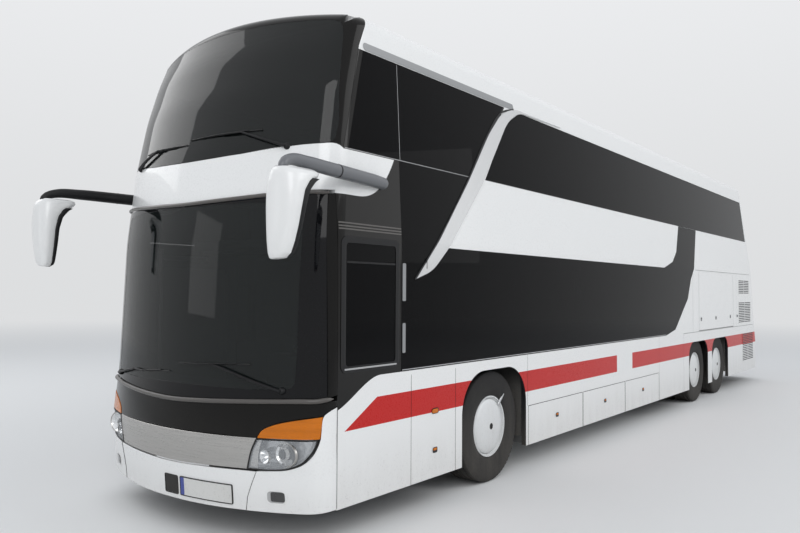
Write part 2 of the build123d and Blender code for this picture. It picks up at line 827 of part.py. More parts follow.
knee_x = 560
hub_start = tyre_face - 110
bellows_radius = 75
rail_x = (rail_inner + rail_outer) / 2
front_rail_x = (front_rail_inner + front_rail_outer) / 2
with BuildPart() as axles:
    with BuildSketch(Plane.XZ.offset(-front_axle_y - 45)):
        with BuildLine():
            right = [(0, beam_low), (knee_x, beam_low), (kingpin_x - 110, hub_height - eye_half),
                     (kingpin_x, hub_height - eye_half), (kingpin_x, hub_height + eye_half),
                     (kingpin_x - 140, hub_height + eye_half), (knee_x - 40, beam_high), (0, beam_high)]
            Polyline(*right, *[(-x, z) for x, z in reversed(right)][1:-1], close=True)
        make_face()
    extrude(amount=90)
    for side in (1, -1):
        add(pillar_z(eye_radius, side * kingpin_x, front_axle_y, hub_height - eye_half, hub_height + eye_half))
        add(pillar_z(30, side * front_rail_x, front_axle_y, beam_high - 30, rail_low - bond))
        add(pillar_z(pin_radius + pin_gap, side * kingpin_x, front_axle_y, 0, 1000), mode=Mode.SUBTRACT)
    inner_end = house_inner - 20
    for axle_y in (drive_axle_y, tag_axle_y):
        add(tube_x(axle_tube_radius, -inner_end, inner_end, axle_y))
        for side in (1, -1):
            add(tube_x(stub_radius, side * (inner_end - 20), side * hub_start, axle_y))
            add(pillar_z(bellows_radius, side * rail_x, axle_y, hub_height, rear_rail_low - bond))
    with Locations((0, drive_axle_y, hub_height)):
        Sphere(190)
save(axles, "axles")

# Knuckles: forked carriers about the kingpins, with stub, drum and track arm
fork_gap = 1
for side, side_name in ((1, "left"), (-1, "right")):
    kx = side * kingpin_x
    with BuildPart() as knuckle:
        add(pillar_z(pin_radius, kx, front_axle_y, hub_height - eye_half - 35, hub_height + eye_half + 35))
        for lug_low in (hub_height - eye_half - fork_gap - 34, hub_height + eye_half + fork_gap):
            add(pillar_z(eye_radius, kx, front_axle_y, lug_low, lug_low + 34))
            x_range = sorted((kx, kx + side * 75))
            add(bar_block(x_range, (front_axle_y - eye_radius, front_axle_y + eye_radius), (lug_low, lug_low + 34)))
        x_range = sorted((kx + side * 56, kx + side * 75))
        add(bar_block(x_range, (front_axle_y - eye_radius, front_axle_y + eye_radius),
                      (hub_height - eye_half - 35, hub_height + eye_half + 35)))
        add(tube_x(stub_radius, kx + side * 56, side * hub_start, front_axle_y))
    save(knuckle, f"{side_name}_knuckle")

# Wheels: tyre ring and rim with its domed cover, turned about the hub line
rim_wall = 10
cover_depth = 14
dome_radius = 150


def wheel_plane(axle_y):
    return Plane(origin=(0, axle_y, hub_height), x_dir=(1, 0, 0), z_dir=(0, -1, 0))


def tyre_ring(side, centre, axle_y):
    """Tyre with rounded shoulders, centred on this distance from the middle of the coach."""
    half = tyre_width / 2
    with BuildPart() as ring:
        with BuildSketch(wheel_plane(axle_y)):
            with BuildLine():
                points = [(-half + 30, tyre_bead_radius), (-half, tyre_bead_radius + 90), (-half + 24, tyre_radius),
                          (half - 24, tyre_radius), (half, tyre_bead_radius + 90), (half - 30, tyre_bead_radius)]
                Polyline(*[(side * (centre + x), r) for x, r in points], close=True)
            make_face()
        revolve(axis=Axis((0, axle_y, hub_height), (1, 0, 0)))
    return ring.part


def turned_ring(axle_y, side, points):
    """Ring turned about the hub line from points of (distance from the middle of the coach, radius)."""
    with BuildPart() as ring:
        with BuildSketch(wheel_plane(axle_y)):
            with BuildLine():
                Polyline(*[(side * x, r) for x, r in points], close=True)
            make_face()
        revolve(axis=Axis((0, axle_y, hub_height), (1, 0, 0)))
    return ring.part


def rims(side, axle_y, tyre_count):
    """Rim barrels on one hub sleeve, with the domed cover over the outer one."""
    half = tyre_width / 2 - 32
    bead = tyre_bead_radius - bond
    hub = stub_radius + hub_clearance
    disc = hub_start - 22
    inner = wheel_x - (tyre_count - 1) * twin_spacing
    sleeve_start = inner + half - 16 if tyre_count > 1 else disc - 30
    rings = [[(sleeve_start, hub), (disc, hub), (disc, hub + 18), (sleeve_start, hub + 18)],
             [(disc - 16, hub), (disc, hub), (disc, bead - rim_wall / 2), (disc - 16, bead - rim_wall / 2)]]
    for index in range(tyre_count):
        centre = wheel_x - index * twin_spacing
        rings.append([(centre - half, bead), (centre + half, bead),
                      (centre + half, bead - rim_wall), (centre - half, bead - rim_wall)])
        if index:
            rings.append([(centre + half - 16, hub), (centre + half, hub), (centre + half, bead), (centre + half - 16, bead)])
    face = tyre_face - 2
    edge = wheel_x + half
    rings.append([(edge - 4, bead), (edge - 4, bead - rim_wall), (face - cover_depth - 14, bead - 30),
                  (face - cover_depth + 8, dome_radius), (face - 2, dome_radius - 40), (face - 2, 0), (face + 3, 0),
                  (face + 3, dome_radius - 30), (face - cover_depth + 16, dome_radius + 12),
                  (face - cover_depth, bead - 25), (edge + 4, bead)])
    with BuildPart() as group:
        for points in rings:
            add(turned_ring(axle_y, side, points))
    return group.part


wheel_table = [
    # name, axle, number of tyres
    ("front", front_axle_y, 1),
    ("drive", drive_axle_y, 2),
    ("tag", tag_axle_y, 1),
]
for side, side_name in ((1, "left"), (-1, "right")):
    for wheel_name, axle_y, tyre_count in wheel_table:
        with BuildPart() as tyres:
            for index in range(tyre_count):
                add(tyre_ring(side, wheel_x - index * twin_spacing, axle_y))
        save(tyres, f"{side_name}_{wheel_name}_tyre")
        with BuildPart() as wheel_rims:
            add(rims(side, axle_y, tyre_count))
        save(wheel_rims, f"{side_name}_{wheel_name}_rim")

# Passenger doors with their panes, carried by arms on upright posts
post_radius = 20
arm_thickness = 24
arm_rows = (720, 2100)
door_reach = 500
post_inset = 75
post_x = -(half_width - wall - 65)
door_window = (105, 105, 860, 2040)
ceiling = upper_floor_height - upper_floor_thickness
for door_name, (front, back, door_low, door_high) in (("front", front_door_box), ("middle", middle_door_box)):
    post_y = station(front + post_inset)
    leaf_y = post_y + door_reach
    leaf_box = side_box(front + door_gap, back - door_gap, door_low + door_gap, door_high - door_gap)
    window = side_box(front + door_window[0], back - door_window[1], door_window[2], door_window[3], 60)
    with BuildPart() as leaf:
        add(common(shell.part, side_prism(leaf_box, -1)))
        add(without(side_prism(grown(window, seam / 2), -1), seat_form), mode=Mode.SUBTRACT)
        add(side_prism(grown(window, -25), -1), mode=Mode.SUBTRACT)
        for arm_z in arm_rows:
            for lug in (arm_z - arm_thickness - 1, arm_z + arm_thickness + 1):
                centre_z = lug - 8 if lug < arm_z else lug + 8
                add(bar_block((-(half_width - wall + 8), post_x + 22), (leaf_y - 22, leaf_y + 22), (centre_z - 8, centre_z + 8)))
            add(pillar_z(9, post_x, leaf_y, arm_z - arm_thickness - 12, arm_z + arm_thickness + 12))
    save(leaf, f"{door_name}_door")
    with BuildPart() as pane:
        add(common(outer_form, side_prism(window, -1)))
        add(pane_form, mode=Mode.SUBTRACT)
    save(pane, f"{door_name}_door_glass")
    with BuildPart() as arm:
        add(pillar_z(post_radius, post_x, post_y, aisle_height + bond, ceiling - bond))
        for arm_z in arm_rows:
            add(bar_block((post_x - 14, post_x + 14), (post_y, leaf_y), (arm_z - arm_thickness, arm_z + arm_thickness)))
            add(pillar_z(20, post_x, leaf_y, arm_z - arm_thickness, arm_z + arm_thickness))
            add(pillar_z(9.4, post_x, leaf_y, arm_z - 60, arm_z + 60), mode=Mode.SUBTRACT)
    save(arm, f"{door_name}_door_arm")

# Driver's place: dashboard with column, steering wheel and seat
dash_back = 640
dash_low = 900
dash_high = 1060
column_x = 720
column_tilt = 25
wheel_centre = Vector(column_x, station(930), 1270)
tilt_axis = Vector(0, sin(radians(column_tilt)), cos(radians(column_tilt)))
column_plane = Plane(origin=wheel_centre, x_dir=(1, 0, 0), z_dir=tilt_axis)
column_length = 560
steering_ring_radius = 225
steering_tube_radius = 16
with BuildPart() as dashboard:
    add(common(floor_form, block((-half_width, half_width), (-mirror_reach, dash_back), (dash_low, dash_high))))
    add(block((column_x - 330, column_x + 330), (dash_back - 10, dash_back + 80), (platform_height + bond, dash_high)))
    with BuildSketch(column_plane.offset(-column_length)):
        Circle(32)
    extrude(amount=column_length - 40)
save(dashboard, "dashboard")

with BuildPart() as steering_wheel:
    with BuildSketch(Plane(origin=wheel_centre, x_dir=tilt_axis, z_dir=(1, 0, 0))):
        with Locations((0, steering_ring_radius)):
            Circle(steering_tube_radius)
    revolve(axis=Axis(wheel_centre, tilt_axis))
    with BuildSketch(column_plane.offset(-39)):
        Circle(48)
    extrude(amount=45)
    with BuildSketch(column_plane.offset(-10)):
        for turn in (0, 120, 240):
            with Locations(Rotation(0, 0, turn) * Pos(0, -steering_ring_radius / 2)):
                Rectangle(36, steering_ring_radius)
    extrude(amount=12)
save(steering_wheel, "steering_wheel")

# Seats: pairs on a pedestal, as one side profile pushed across
seat_profile = [(0, 0), (360, 0), (400, 420), (560, 1120), (470, 1150), (330, 500), (-60, 470), (-60, 350), (40, 330)]
seat_pitch = 830


def seat_row(x_range, front, base):
    """Pair of seats across the given range, its front edge this far behind the nose."""
    points = [(front + s, base + z) for s, z in seat_profile]
    with BuildPart() as seat:
        with BuildSketch(Plane.YZ.offset(x_range[0])):
            add(outline(stations(points)))
        extrude(amount=x_range[1] - x_range[0])
    return seat.part


with BuildPart() as seats:
    for row in range(4):
        front = 3500 + row * seat_pitch
        add(seat_row((-1160, -380), front, lower_floor_height + bond))
    for row in range(4):
        front = 5150 + row * seat_pitch
        add(seat_row((380, 1160), front, lower_floor_height + bond))
    add(seat_row((column_x - 240, column_x + 240), 1420, platform_height + bond))
    for row in range(13):
        front = 1500 + row * seat_pitch
        for side in (1, -1):
            over_stair = side > 0 and front + 600 > stair_s[0] + 200 and front - 100 < stair_s[1] + 40
            if not over_stair:
                x_range = sorted((side * 260, side * 1060))
                add(seat_row(x_range, front, upper_floor_height + bond))
save(seats, "seats")

# Outside mirrors: teardrop housings ahead of the nose on long round arms from the sides
mirror_x = 1475
mirror_depth = 150
mirror_arm_height = 2626
mirror_arm_radius = 42
mirror_arm_root = 1030
mirror_sections = [
    # height, width, depth, corner radius
    (1990, 90, 80, 30),
    (2050, 210, 132, 50),
    (2300, 264, 150, 60),
    (2480, 264, 150, 60),
    (2590, 150, 110, 50),
]
mirror_s = mirror_depth / 2 - mirror_reach
with BuildPart() as mirrors:
    for side in (1, -1):
        for height, width, depth, corner in mirror_sections:
            with BuildSketch(Plane.XY.offset(height)):
                with Locations((side * mirror_x, station(mirror_s))):
                    RectangleRounded(width, depth, corner)
        loft(ruled=True)
        arm_points = [(side * (half_width - 60), station(mirror_arm_root + 30), mirror_arm_height),
                      (side * (half_width + 20), station(mirror_arm_root - 140), mirror_arm_height),
                      (side * (mirror_x - 30), station(mirror_s + 120), mirror_arm_height),
                      (side * mirror_x, station(mirror_s + 10), mirror_arm_height - 70)]
        with BuildLine() as arm_line:
            FilletPolyline(*arm_points, radius=[200, 60])
        with BuildSketch(Plane(origin=arm_line.line @ 0, z_dir=arm_line.line % 0)):
            Circle(mirror_arm_radius)
        sweep(path=arm_line.line)
    add(outer_form, mode=Mode.SUBTRACT)
save(mirrors, "mirrors")

# Wipers: arm and blade lying close to the glass, two on each windscreen
wiper_rows = [(1001, 1085, 1150), (896, 2862, 2930)]
reach = 700
wiper_form = body_form(-16)
with BuildPart() as wipers:
    for pivot_x, pivot_z, blade_z in wiper_rows:
        for side in (1, -1):
            blade = end_box(*sorted((side * pivot_x, side * (pivot_x - reach))), blade_z, blade_z + 22)
            arm_strip = outline([(side * (pivot_x + 20), pivot_z - 16), (side * (pivot_x + 20), pivot_z + 16),
                                 (side * (pivot_x - reach / 2), blade_z + 22), (side * (pivot_x - reach / 2), blade_z)])
            add(common(wiper_form, end_prism(blade + arm_strip, -1)))
    add(body_form(-bond), mode=Mode.SUBTRACT)
save(wipers, "wipers")
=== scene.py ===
import math
import bmesh
import bpy
import numpy as np
from mathutils import Matrix, Vector


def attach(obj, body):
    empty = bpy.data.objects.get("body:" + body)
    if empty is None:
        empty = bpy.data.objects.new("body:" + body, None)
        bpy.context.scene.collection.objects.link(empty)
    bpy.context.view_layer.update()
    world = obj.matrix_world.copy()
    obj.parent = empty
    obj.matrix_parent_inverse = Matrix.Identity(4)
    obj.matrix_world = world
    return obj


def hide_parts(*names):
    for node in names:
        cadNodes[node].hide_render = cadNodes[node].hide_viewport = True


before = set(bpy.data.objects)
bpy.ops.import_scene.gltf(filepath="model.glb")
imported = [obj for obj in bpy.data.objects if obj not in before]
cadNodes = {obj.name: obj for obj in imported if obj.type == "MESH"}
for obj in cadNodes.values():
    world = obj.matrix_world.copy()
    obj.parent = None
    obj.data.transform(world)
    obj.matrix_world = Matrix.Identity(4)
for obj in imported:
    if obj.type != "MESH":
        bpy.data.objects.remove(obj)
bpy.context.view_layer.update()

# The coach's own form: a bowed nose and tail with round corners, straight sides, and a roof edge
# that rolls over into a gently crowned roof. Lengths in metres, s is the distance behind the nose.
coach = {
    "noseY": -6.795,
    "halfWidth": 1.275,
    "waist": 2.2,
    "cantrail": 3.66,
    "lean": 0.076,
    "length": 13.89,
    "crown": 4.0,
    "crownDrop": 0.09,
    "ends": {-1: (2.6, 0.22), 1: (6.0, 0.19)},
    "heights": [0.25, 0.7, 1.16, 2.2, 2.85, 3.3, 3.66, 4.05],
    "setBack": {-1: [0.04, 0, 0.05, 0.10, 0.18, 0.275, 0.39, 0.56],
                1: [0.03, 0, 0.13, 0.38, 0.60, 0.76, 0.905, 1.09]},
    "roundTop": (0.095, 0.115, 0.17),   # drop below the edge, run in over the roof, length in v
}


# Half-width at a height: the full one up to the waist, then less by the lean in proportion to the rise.
def halfAt(z):
    rise = np.maximum(z - coach["waist"], 0)
    return coach["halfWidth"] - coach["lean"] * rise / (coach["cantrail"] - coach["waist"])


# Distance of the end's middle behind the nose line: the mean of the broken line over a short window of
# height, which rounds its corners.
def setBackAt(z, end):
    total = 0
    for shift in (-0.07, -0.035, 0.0, 0.035, 0.07):
        total = total + np.interp(z + shift, coach["heights"], coach["setBack"][end])
    return total / 5


# The round corner of an end at height z, on a skin moved out by off: radii of the bowed end and of the
# corner, half-width, run from the bow's centre to the corner's, corner angle, and X where the corner starts.
def cornerAt(z, end, off=0.0):
    radius, corner = [r + off for r in coach["ends"][end]]
    half = halfAt(z) + off
    reach = np.sqrt((radius - corner) ** 2 - (half - corner) ** 2)
    xJoin = (half - corner) * radius / (radius - corner)
    return radius, corner, half, reach, np.arctan2(reach, half - corner), xJoin


# Point of the plan outline at height z. w runs from the middle of the end along it: across the bowed
# end as plain X, round the corner as arc length, then straight along the side.
def planPoint(w, z, off=0.0, end=-1):
    bigR, smallR, half, reach, angle, xJoin = cornerAt(z, end, off)
    radius, back = coach["ends"][end][0], setBackAt(z, end)
    cornerS = back + radius - reach
    arc = smallR * angle
    a = np.abs(w)
    side = np.where(w < 0, -1.0, 1.0)
    xFront = np.minimum(a, xJoin)
    phi = angle * (1 - np.clip((a - xJoin) / arc, 0, 1))
    onFront, onCorner = a <= xJoin, a <= xJoin + arc
    x = np.where(onFront, xFront, np.where(onCorner, half - smallR + smallR * np.cos(phi), half))
    s = np.where(onFront, back + radius - np.sqrt(bigR ** 2 - xFront ** 2),
                 np.where(onCorner, cornerS - smallR * np.sin(phi), cornerS + a - xJoin - arc))
    nx = np.where(onFront, xFront / bigR, np.where(onCorner, np.cos(phi), 1.0))
    ns = np.where(onFront, -np.sqrt(1 - (xFront / bigR) ** 2), np.where(onCorner, -np.sin(phi), 0.0))
    return x * side, s, nx * side, ns


# w of a place given by its X on the bowed end or the corner.
def wFront(x, z, end=-1):
    _, corner, half, _, angle, xJoin = cornerAt(z, end)
    a = np.abs(x)
    phi = np.arccos(np.clip((a - half + corner) / corner, -1, 1))
    return np.sign(x) * np.where(a <= xJoin, a, xJoin + corner * (angle - np.minimum(phi, angle)))


# w of a place given by its distance s from the end, on the corner or the side.
def wSide(s, z, end=-1):
    radius, corner, _, reach, angle, xJoin = cornerAt(z, end)
    cornerS = setBackAt(z, end) + radius - reach
    phi = np.arcsin(np.clip((cornerS - s) / corner, -1, 1))
    return np.where(s >= cornerS, xJoin + corner * angle + s - cornerS,
        xJoin + corner * (angle - np.minimum(phi, angle)))


# Height of the roof: the crown less a drop that grows with the square of the distance from the middle.
def crownAt(x, off=0.0):
    return coach["crown"] + off - coach["crownDrop"] * (x / coach["halfWidth"]) ** 2


# Where the nose pieces end and the roof and walls start.
def jointS(z):
    return np.interp(z, [2.6, 2.85, 3.66, 4.1], [0.505, 0.59, 0.8, 1.0])


# Point of the coach's skin. v is the height up the wall, then the way round the roof edge as a conic
# arc, then the share of the way in over the crown to the roof joint.
def skin(w, v, off=0.0, end=-1):
    w, v = np.broadcast_arrays(np.asarray(w, float), np.asarray(v, float))
    drop, run, length = coach["roundTop"]
    edge = np.full(w.shape, 3.95)
    for _ in range(3):
        edge = crownAt(planPoint(w, edge, off, end)[0], off)
    start = edge - drop
    low = np.minimum(v, start)
    x, s, nx, ns = planPoint(w, low, off, end)
    z = low
    x1, s1, nx1, ns1 = planPoint(w, edge, off, end)
    x0, s0, _, _ = planPoint(w, start, off, end)
    x2, s2 = x1 - nx1 * run, s1 - ns1 * run
    z2 = crownAt(x2, off)
    t = np.clip((v - start) / length, 0, 1)
    b0, b1, b2 = (1 - t) ** 2, 2 * t * (1 - t) * 0.75, t ** 2
    total = b0 + b1 + b2
    ax, as_, az = (b0 * x0 + b1 * x1 + b2 * x2) / total, (b0 * s0 + b1 * s1 + b2 * s2) / total, (b0 *
        start + b1 * edge + b2 * z2) / total
    q = np.clip(v - start - length, 0, 1)
    s3 = s2 + (np.maximum(jointS(crownAt(x2)) - 0.003, s2) - s2) * q
    over = v > start
    beyond = v > start + length
    x = np.where(beyond, x2, np.where(over, ax, x))
    s = np.where(beyond, s3, np.where(over, as_, s))
    z = np.where(beyond, z2, np.where(over, az, z))
    y = coach["noseY"] + (s if end < 0 else coach["length"] - s)
    return np.stack([x, y, z], -1)


# Height on the wall at which the roof edge starts to roll over.
def roofStart(w):
    edge = np.full(np.shape(w), 3.95)
    for _ in range(3):
        edge = crownAt(planPoint(np.asarray(w, float), edge)[0])
    return edge - coach["roundTop"][0]


# Points spread evenly by their real distance over the skin.
def evenOnSkin(points, count):
    fine = straightPath(points, 600)
    place = skin(fine[:, 0], fine[:, 1])
    t = np.concatenate([[0], np.cumsum(np.linalg.norm(np.diff(place, axis=0), axis=1))])
    at = np.linspace(0, t[-1], count)
    return np.stack([np.interp(at, t, fine[:, 0]), np.interp(at, t, fine[:, 1])], -1)


# Points spread evenly along a smooth line through the given ones: cubic Hermite spans whose tangents
# are the mean of the runs on both sides, limited so that it doesn't overshoot.
def smoothPath(points, count):
    p = np.asarray(points, float)
    step = np.maximum(np.linalg.norm(np.diff(p, axis=0), axis=1), 1e-9)
    t = np.concatenate([[0], np.cumsum(step)])
    slope = np.diff(p, axis=0) / step[:, None]
    tangent = np.concatenate([slope[:1], (slope[:-1] + slope[1:]) / 2, slope[-1:]])
    at = np.linspace(0, t[-1], count)
    k = np.clip(np.searchsorted(t, at, side="right") - 1, 0, len(step) - 1)
    h = step[k][:, None]
    u = ((at - t[k]) / step[k])[:, None]
    return ((2 * u ** 3 - 3 * u ** 2 + 1) * p[k] + (u ** 3 - 2 * u ** 2 + u) * h * tangent[k]
            + (3 * u ** 2 - 2 * u ** 3) * p[k + 1] + (u ** 3 - u ** 2) * h * tangent[k + 1])


# Points spread evenly along a broken line.
def straightPath(points, count):
    p = np.asarray(points, float)
    t = np.concatenate([[0], np.cumsum(np.linalg.norm(np.diff(p, axis=0), axis=1))])
    at = np.linspace(0, t[-1], count)
    return np.stack([np.interp(at, t, p[:, i]) for i in range(p.shape[1])], -1)


# Mesh object of a look, from (points, faces) parts: its points are merged where they meet, and edges over
# the angle in degrees stay sharp. It rides its CAD body and wears the material of its look.
def makeMesh(name, parts, look, body="coach_body", bevel=0.0, angle=35):
    verts, faces = join(parts)
    mesh = bpy.data.meshes.new(name)
    mesh.from_pydata(verts.tolist(), [], faces)
    mesh.validate()
    work = bmesh.new()
    work.from_mesh(mesh)
    bmesh.ops.remove_doubles(work, verts=work.verts, dist=2e-5)
    bmesh.ops.dissolve_degenerate(work, edges=work.edges, dist=1e-6)
    bmesh.ops.recalc_face_normals(work, faces=work.faces)
    work.to_mesh(mesh)
    work.free()
    mesh.polygons.foreach_set("use_smooth", np.ones(len(mesh.polygons), bool))
    mesh.set_sharp_from_angle(angle=math.radians(angle))
    obj = bpy.data.objects.new(name, mesh)
    bpy.context.scene.collection.objects.link(obj)
    mesh.materials.append(materials[look])
    if bevel:
        mod = obj.modifiers.new("Bevel", "BEVEL")
        mod.width = bevel
        mod.segments = 2
        mod.limit_method = "ANGLE"
        mod.angle_limit = math.radians(50)
    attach(obj, body)
    return obj


# Quads of an n by m grid of points, closed round either way where asked.
def gridFaces(n, m, start=0, closeN=False, closeM=False, flip=False):
    i = np.arange(n if closeN else n - 1)
    j = np.arange(m if closeM else m - 1)
    i, j = np.meshgrid(i, j, indexing="ij")
    a, b = i * m + j, i * m + (j + 1) % m
    c, d = ((i + 1) % n) * m + (j + 1) % m, ((i + 1) % n) * m + j
    quads = np.stack([a, b, c, d] if not flip else [a, d, c, b], -1).reshape(-1, 4) + start
    return quads.tolist()


# Closed sheet of the skin: the outer face lies off the skin by off, the inner one thick below it, and
# a rim joins their edges. Returns its points and faces.
def shell(w, v, thick, off=0.0, end=-1, closeN=False):
    n, m = w.shape
    outer = skin(w, v, off, end).reshape(-1, 3)
    inner = skin(w, v, off - thick, end).reshape(-1, 3)
    k = n * m
    faces = gridFaces(n, m, 0, closeN) + gridFaces(n, m, k, closeN, flip=True)
    index = np.arange(k).reshape(n, m)
    edges = [index[:, 0], index[:, -1]] if closeN else [index[:, 0], index[-1, :], index[::-1, -1],
        index[0, ::-1]]
    for number, line in enumerate(edges):
        line = np.append(line, line[0]) if closeN else line
        faces += np.stack([line[:-1], line[1:], line[1:] + k, line[:-1] + k], -1).tolist()
    return np.concatenate([outer, inner]), faces


# Several (points, faces) as one.
def join(parts):
    verts, faces, base = [], [], 0
    for v, f in parts:
        v = np.asarray(v, float).reshape(-1, 3)
        verts.append(v)
        faces += [[i + base for i in face] for face in f]
        base += len(v)
    return np.concatenate(verts), faces


# Grid inside four edges: the sum of the two ruled fills less the bilinear fill of the corners. bottom
# and top run left to right, left and right run upward.
def coons(bottom, right, top, left):
    n, m = len(bottom), len(left)
    u = np.linspace(0, 1, n)[:, None, None]
    t = np.linspace(0, 1, m)[None, :, None]
    b, c, l, r = bottom[:, None], top[:, None], left[None], right[None]
    flat = ((1 - u) * (1 - t) * bottom[0] + u * (1 - t) * bottom[-1] + (1 - u) * t * top[0] + u * t *
        top[-1])
    g = (1 - t) * b + t * c + (1 - u) * l + u * r - flat
    return g[..., 0], g[..., 1]


# (X, Z) or (s, Z, 's') places as (w, z).
def toW(points, end=-1):
    out = []
    for p in points:
        out.append((float(wSide(p[0], p[1], end)) if len(p) > 2 else float(wFront(p[0], p[1], end)), p[1]))
    return np.array(out)


# The line from the far side to the near side: the mirror image, then the line itself.
def mirrored(points):
    left = points[::-1].copy()
    left[:, 0] *= -1
    return np.concatenate([left[:-1] if abs(points[0, 0]) < 1e-6 else left, points])


# The same form made for the left side and mirrored for the right one.
def bothSides(make):
    return [make(side) for side in (1, -1)]


# Grid between two lines of (w, z) points: their weighted mean at each share t.
def between(a, b, t):
    t = np.asarray(t)[None]
    return a[:, :1] * (1 - t) + b[:, :1] * t, a[:, 1:] * (1 - t) + b[:, 1:] * t


# Band right across the nose between a lower and an upper line, each given from the middle out.
def noseBand(name, low, high, count, rows, look, thick=0.01, **more):
    a, b = smoothPath(mirrored(toW(low)), count), smoothPath(mirrored(toW(high)), count)
    return makeMesh(name, [shell(*between(a, b, np.linspace(0, 1, rows)), thick)], look, **more)


# The same patch on both sides of the nose, from four edges.
def nosePatches(name, bottom, right, top, left, count, rows, look, thick=0.01, off=0.0, **more):
    edges = zip((bottom, right, top, left), (count, rows, count, rows))
    w, v = coons(*[smoothPath(toW(edge), points) for edge, points in edges])
    return makeMesh(name, bothSides(lambda side: shell(side * w, v, thick, off)), look, **more)


# Frame between two closed lines, each given as four edges in order right, top, left, bottom; path spreads
# the counted points along an edge, and levels are the shares of the way out at which they repeat.
def noseRing(name, inner, outer, path, counts, levels, look, thick, **more):
    a, b = [np.concatenate([path(edge, points)[:-1] for edge, points in zip(line, counts)])
        for line in (inner, outer)]
    return makeMesh(name, [shell(*between(a, b, levels), thick, closeN=True)], look, **more)


# Shader node group with named float or colour sockets; returns the tree and its two end nodes.
def newGroup(name, inputs, outputs):
    tree = bpy.data.node_groups.new(name, "ShaderNodeTree")
    for label, kind, value in inputs:
        socket = tree.interface.new_socket(name=label, in_out="INPUT", socket_type=kind)
        if value is not None:
            socket.default_value = value
    for label, kind in outputs:
        tree.interface.new_socket(name=label, in_out="OUTPUT", socket_type=kind)
    return tree, tree.nodes.new("NodeGroupInput"), tree.nodes.new("NodeGroupOutput")


# Adds a node, sets its properties, and feeds its inputs with values or other sockets.
def put(tree, kind, settings=None, **inputs):
    node = tree.nodes.new(kind)
    for key, value in (settings or {}).items():
        setattr(node, key, value)
    for key, value in inputs.items():
        name = key.replace("_", " ")
        socket = node.inputs[int(name[1:])] if name[1:].isdigit() and name[0] == "i" else node.inputs[name]
        if isinstance(value, bpy.types.NodeSocket):
            tree.links.new(value, socket)
        else:
            socket.default_value = value
    return node


# Arithmetic node on one or two values or sockets.
def calc(tree, op, a, b=0.0, clamp=False):
    return put(tree, "ShaderNodeMath", {"operation": op, "use_clamp": clamp}, i0=a, i1=b).outputs[0]


# Mix of two colours by a factor, each a value or a socket.
def blendColour(tree, factor, a, b):
    node = tree.nodes.new("ShaderNodeMix")
    node.data_type = "RGBA"
    for socket, value in ((node.inputs[0], factor), (node.inputs[6], a), (node.inputs[7], b)):
        if isinstance(value, bpy.types.NodeSocket):
            tree.links.new(value, socket)
        else:
            socket.default_value = value
    return node.outputs[2]


# Dust that thickens downward: a noise broken up by streaks, times the share below a height.
def roadDust():
    tree, given, out = newGroup("roadDust",
        [("Height", "NodeSocketFloat", 0.9), ("Amount", "NodeSocketFloat", 0.3)],
        [("Mask", "NodeSocketFloat"), ("Grime", "NodeSocketFloat")])
    place = put(tree, "ShaderNodeTexCoord").outputs["Object"]
    z = put(tree, "ShaderNodeSeparateXYZ", i0=place).outputs[2]
    fade = put(tree, "ShaderNodeMapRange", {"interpolation_type": "SMOOTHSTEP"}, i0=z,
        i1=given.outputs["Height"], i2=0.15).outputs[0]
    streak = put(tree, "ShaderNodeMapping", i0=place)
    streak.inputs["Scale"].default_value = (6, 6, 1.2)
    soft = put(tree, "ShaderNodeTexNoise", i0=streak.outputs[0], Scale=1.6, Detail=6.0,
        Roughness=0.6).outputs[0]
    fine = put(tree, "ShaderNodeTexNoise", i0=place, Scale=60.0, Detail=4.0, Roughness=0.7).outputs[0]
    noise = calc(tree, "MULTIPLY", soft, calc(tree, "ADD", fine, 0.5))
    mask = calc(tree, "MULTIPLY", calc(tree, "MULTIPLY", fade, noise), given.outputs["Amount"], True)
    tree.links.new(mask, out.inputs["Mask"])
    grime = calc(tree, "MULTIPLY", calc(tree, "GREATER_THAN", fine, 0.62),
        calc(tree, "MULTIPLY", mask, 0.8), True)
    tree.links.new(grime, out.inputs["Grime"])
    return tree


# Height and tone of a fine moulded or painted grain: two noises at the given scale.
def fineGrain():
    tree, given, out = newGroup("fineGrain",
        [("Scale", "NodeSocketFloat", 300.0), ("Stretch", "NodeSocketFloat", 1.0)],
        [("Height", "NodeSocketFloat"), ("Tone", "NodeSocketFloat")])
    place = put(tree, "ShaderNodeTexCoord").outputs["Object"]
    split = put(tree, "ShaderNodeSeparateXYZ", i0=place)
    z = calc(tree, "MULTIPLY", split.outputs[2], given.outputs["Stretch"])
    turned = put(tree, "ShaderNodeCombineXYZ", i0=split.outputs[0], i1=split.outputs[1], i2=z).outputs[0]
    a = put(tree, "ShaderNodeTexNoise", i0=turned, Scale=given.outputs["Scale"], Detail=3.0).outputs[0]
    b = put(tree, "ShaderNodeTexNoise", i0=turned,
        Scale=calc(tree, "MULTIPLY", given.outputs["Scale"], 0.08), Detail=3.0).outputs[0]
    tree.links.new(a, out.inputs["Height"])
    tree.links.new(calc(tree, "ADD", calc(tree, "MULTIPLY", a, 0.5), calc(tree, "MULTIPLY", b, 0.5)),
        out.inputs["Tone"])
    return tree


groups = {"dust": roadDust(), "grain": fineGrain()}
dustColour = (0.30, 0.27, 0.23, 1)


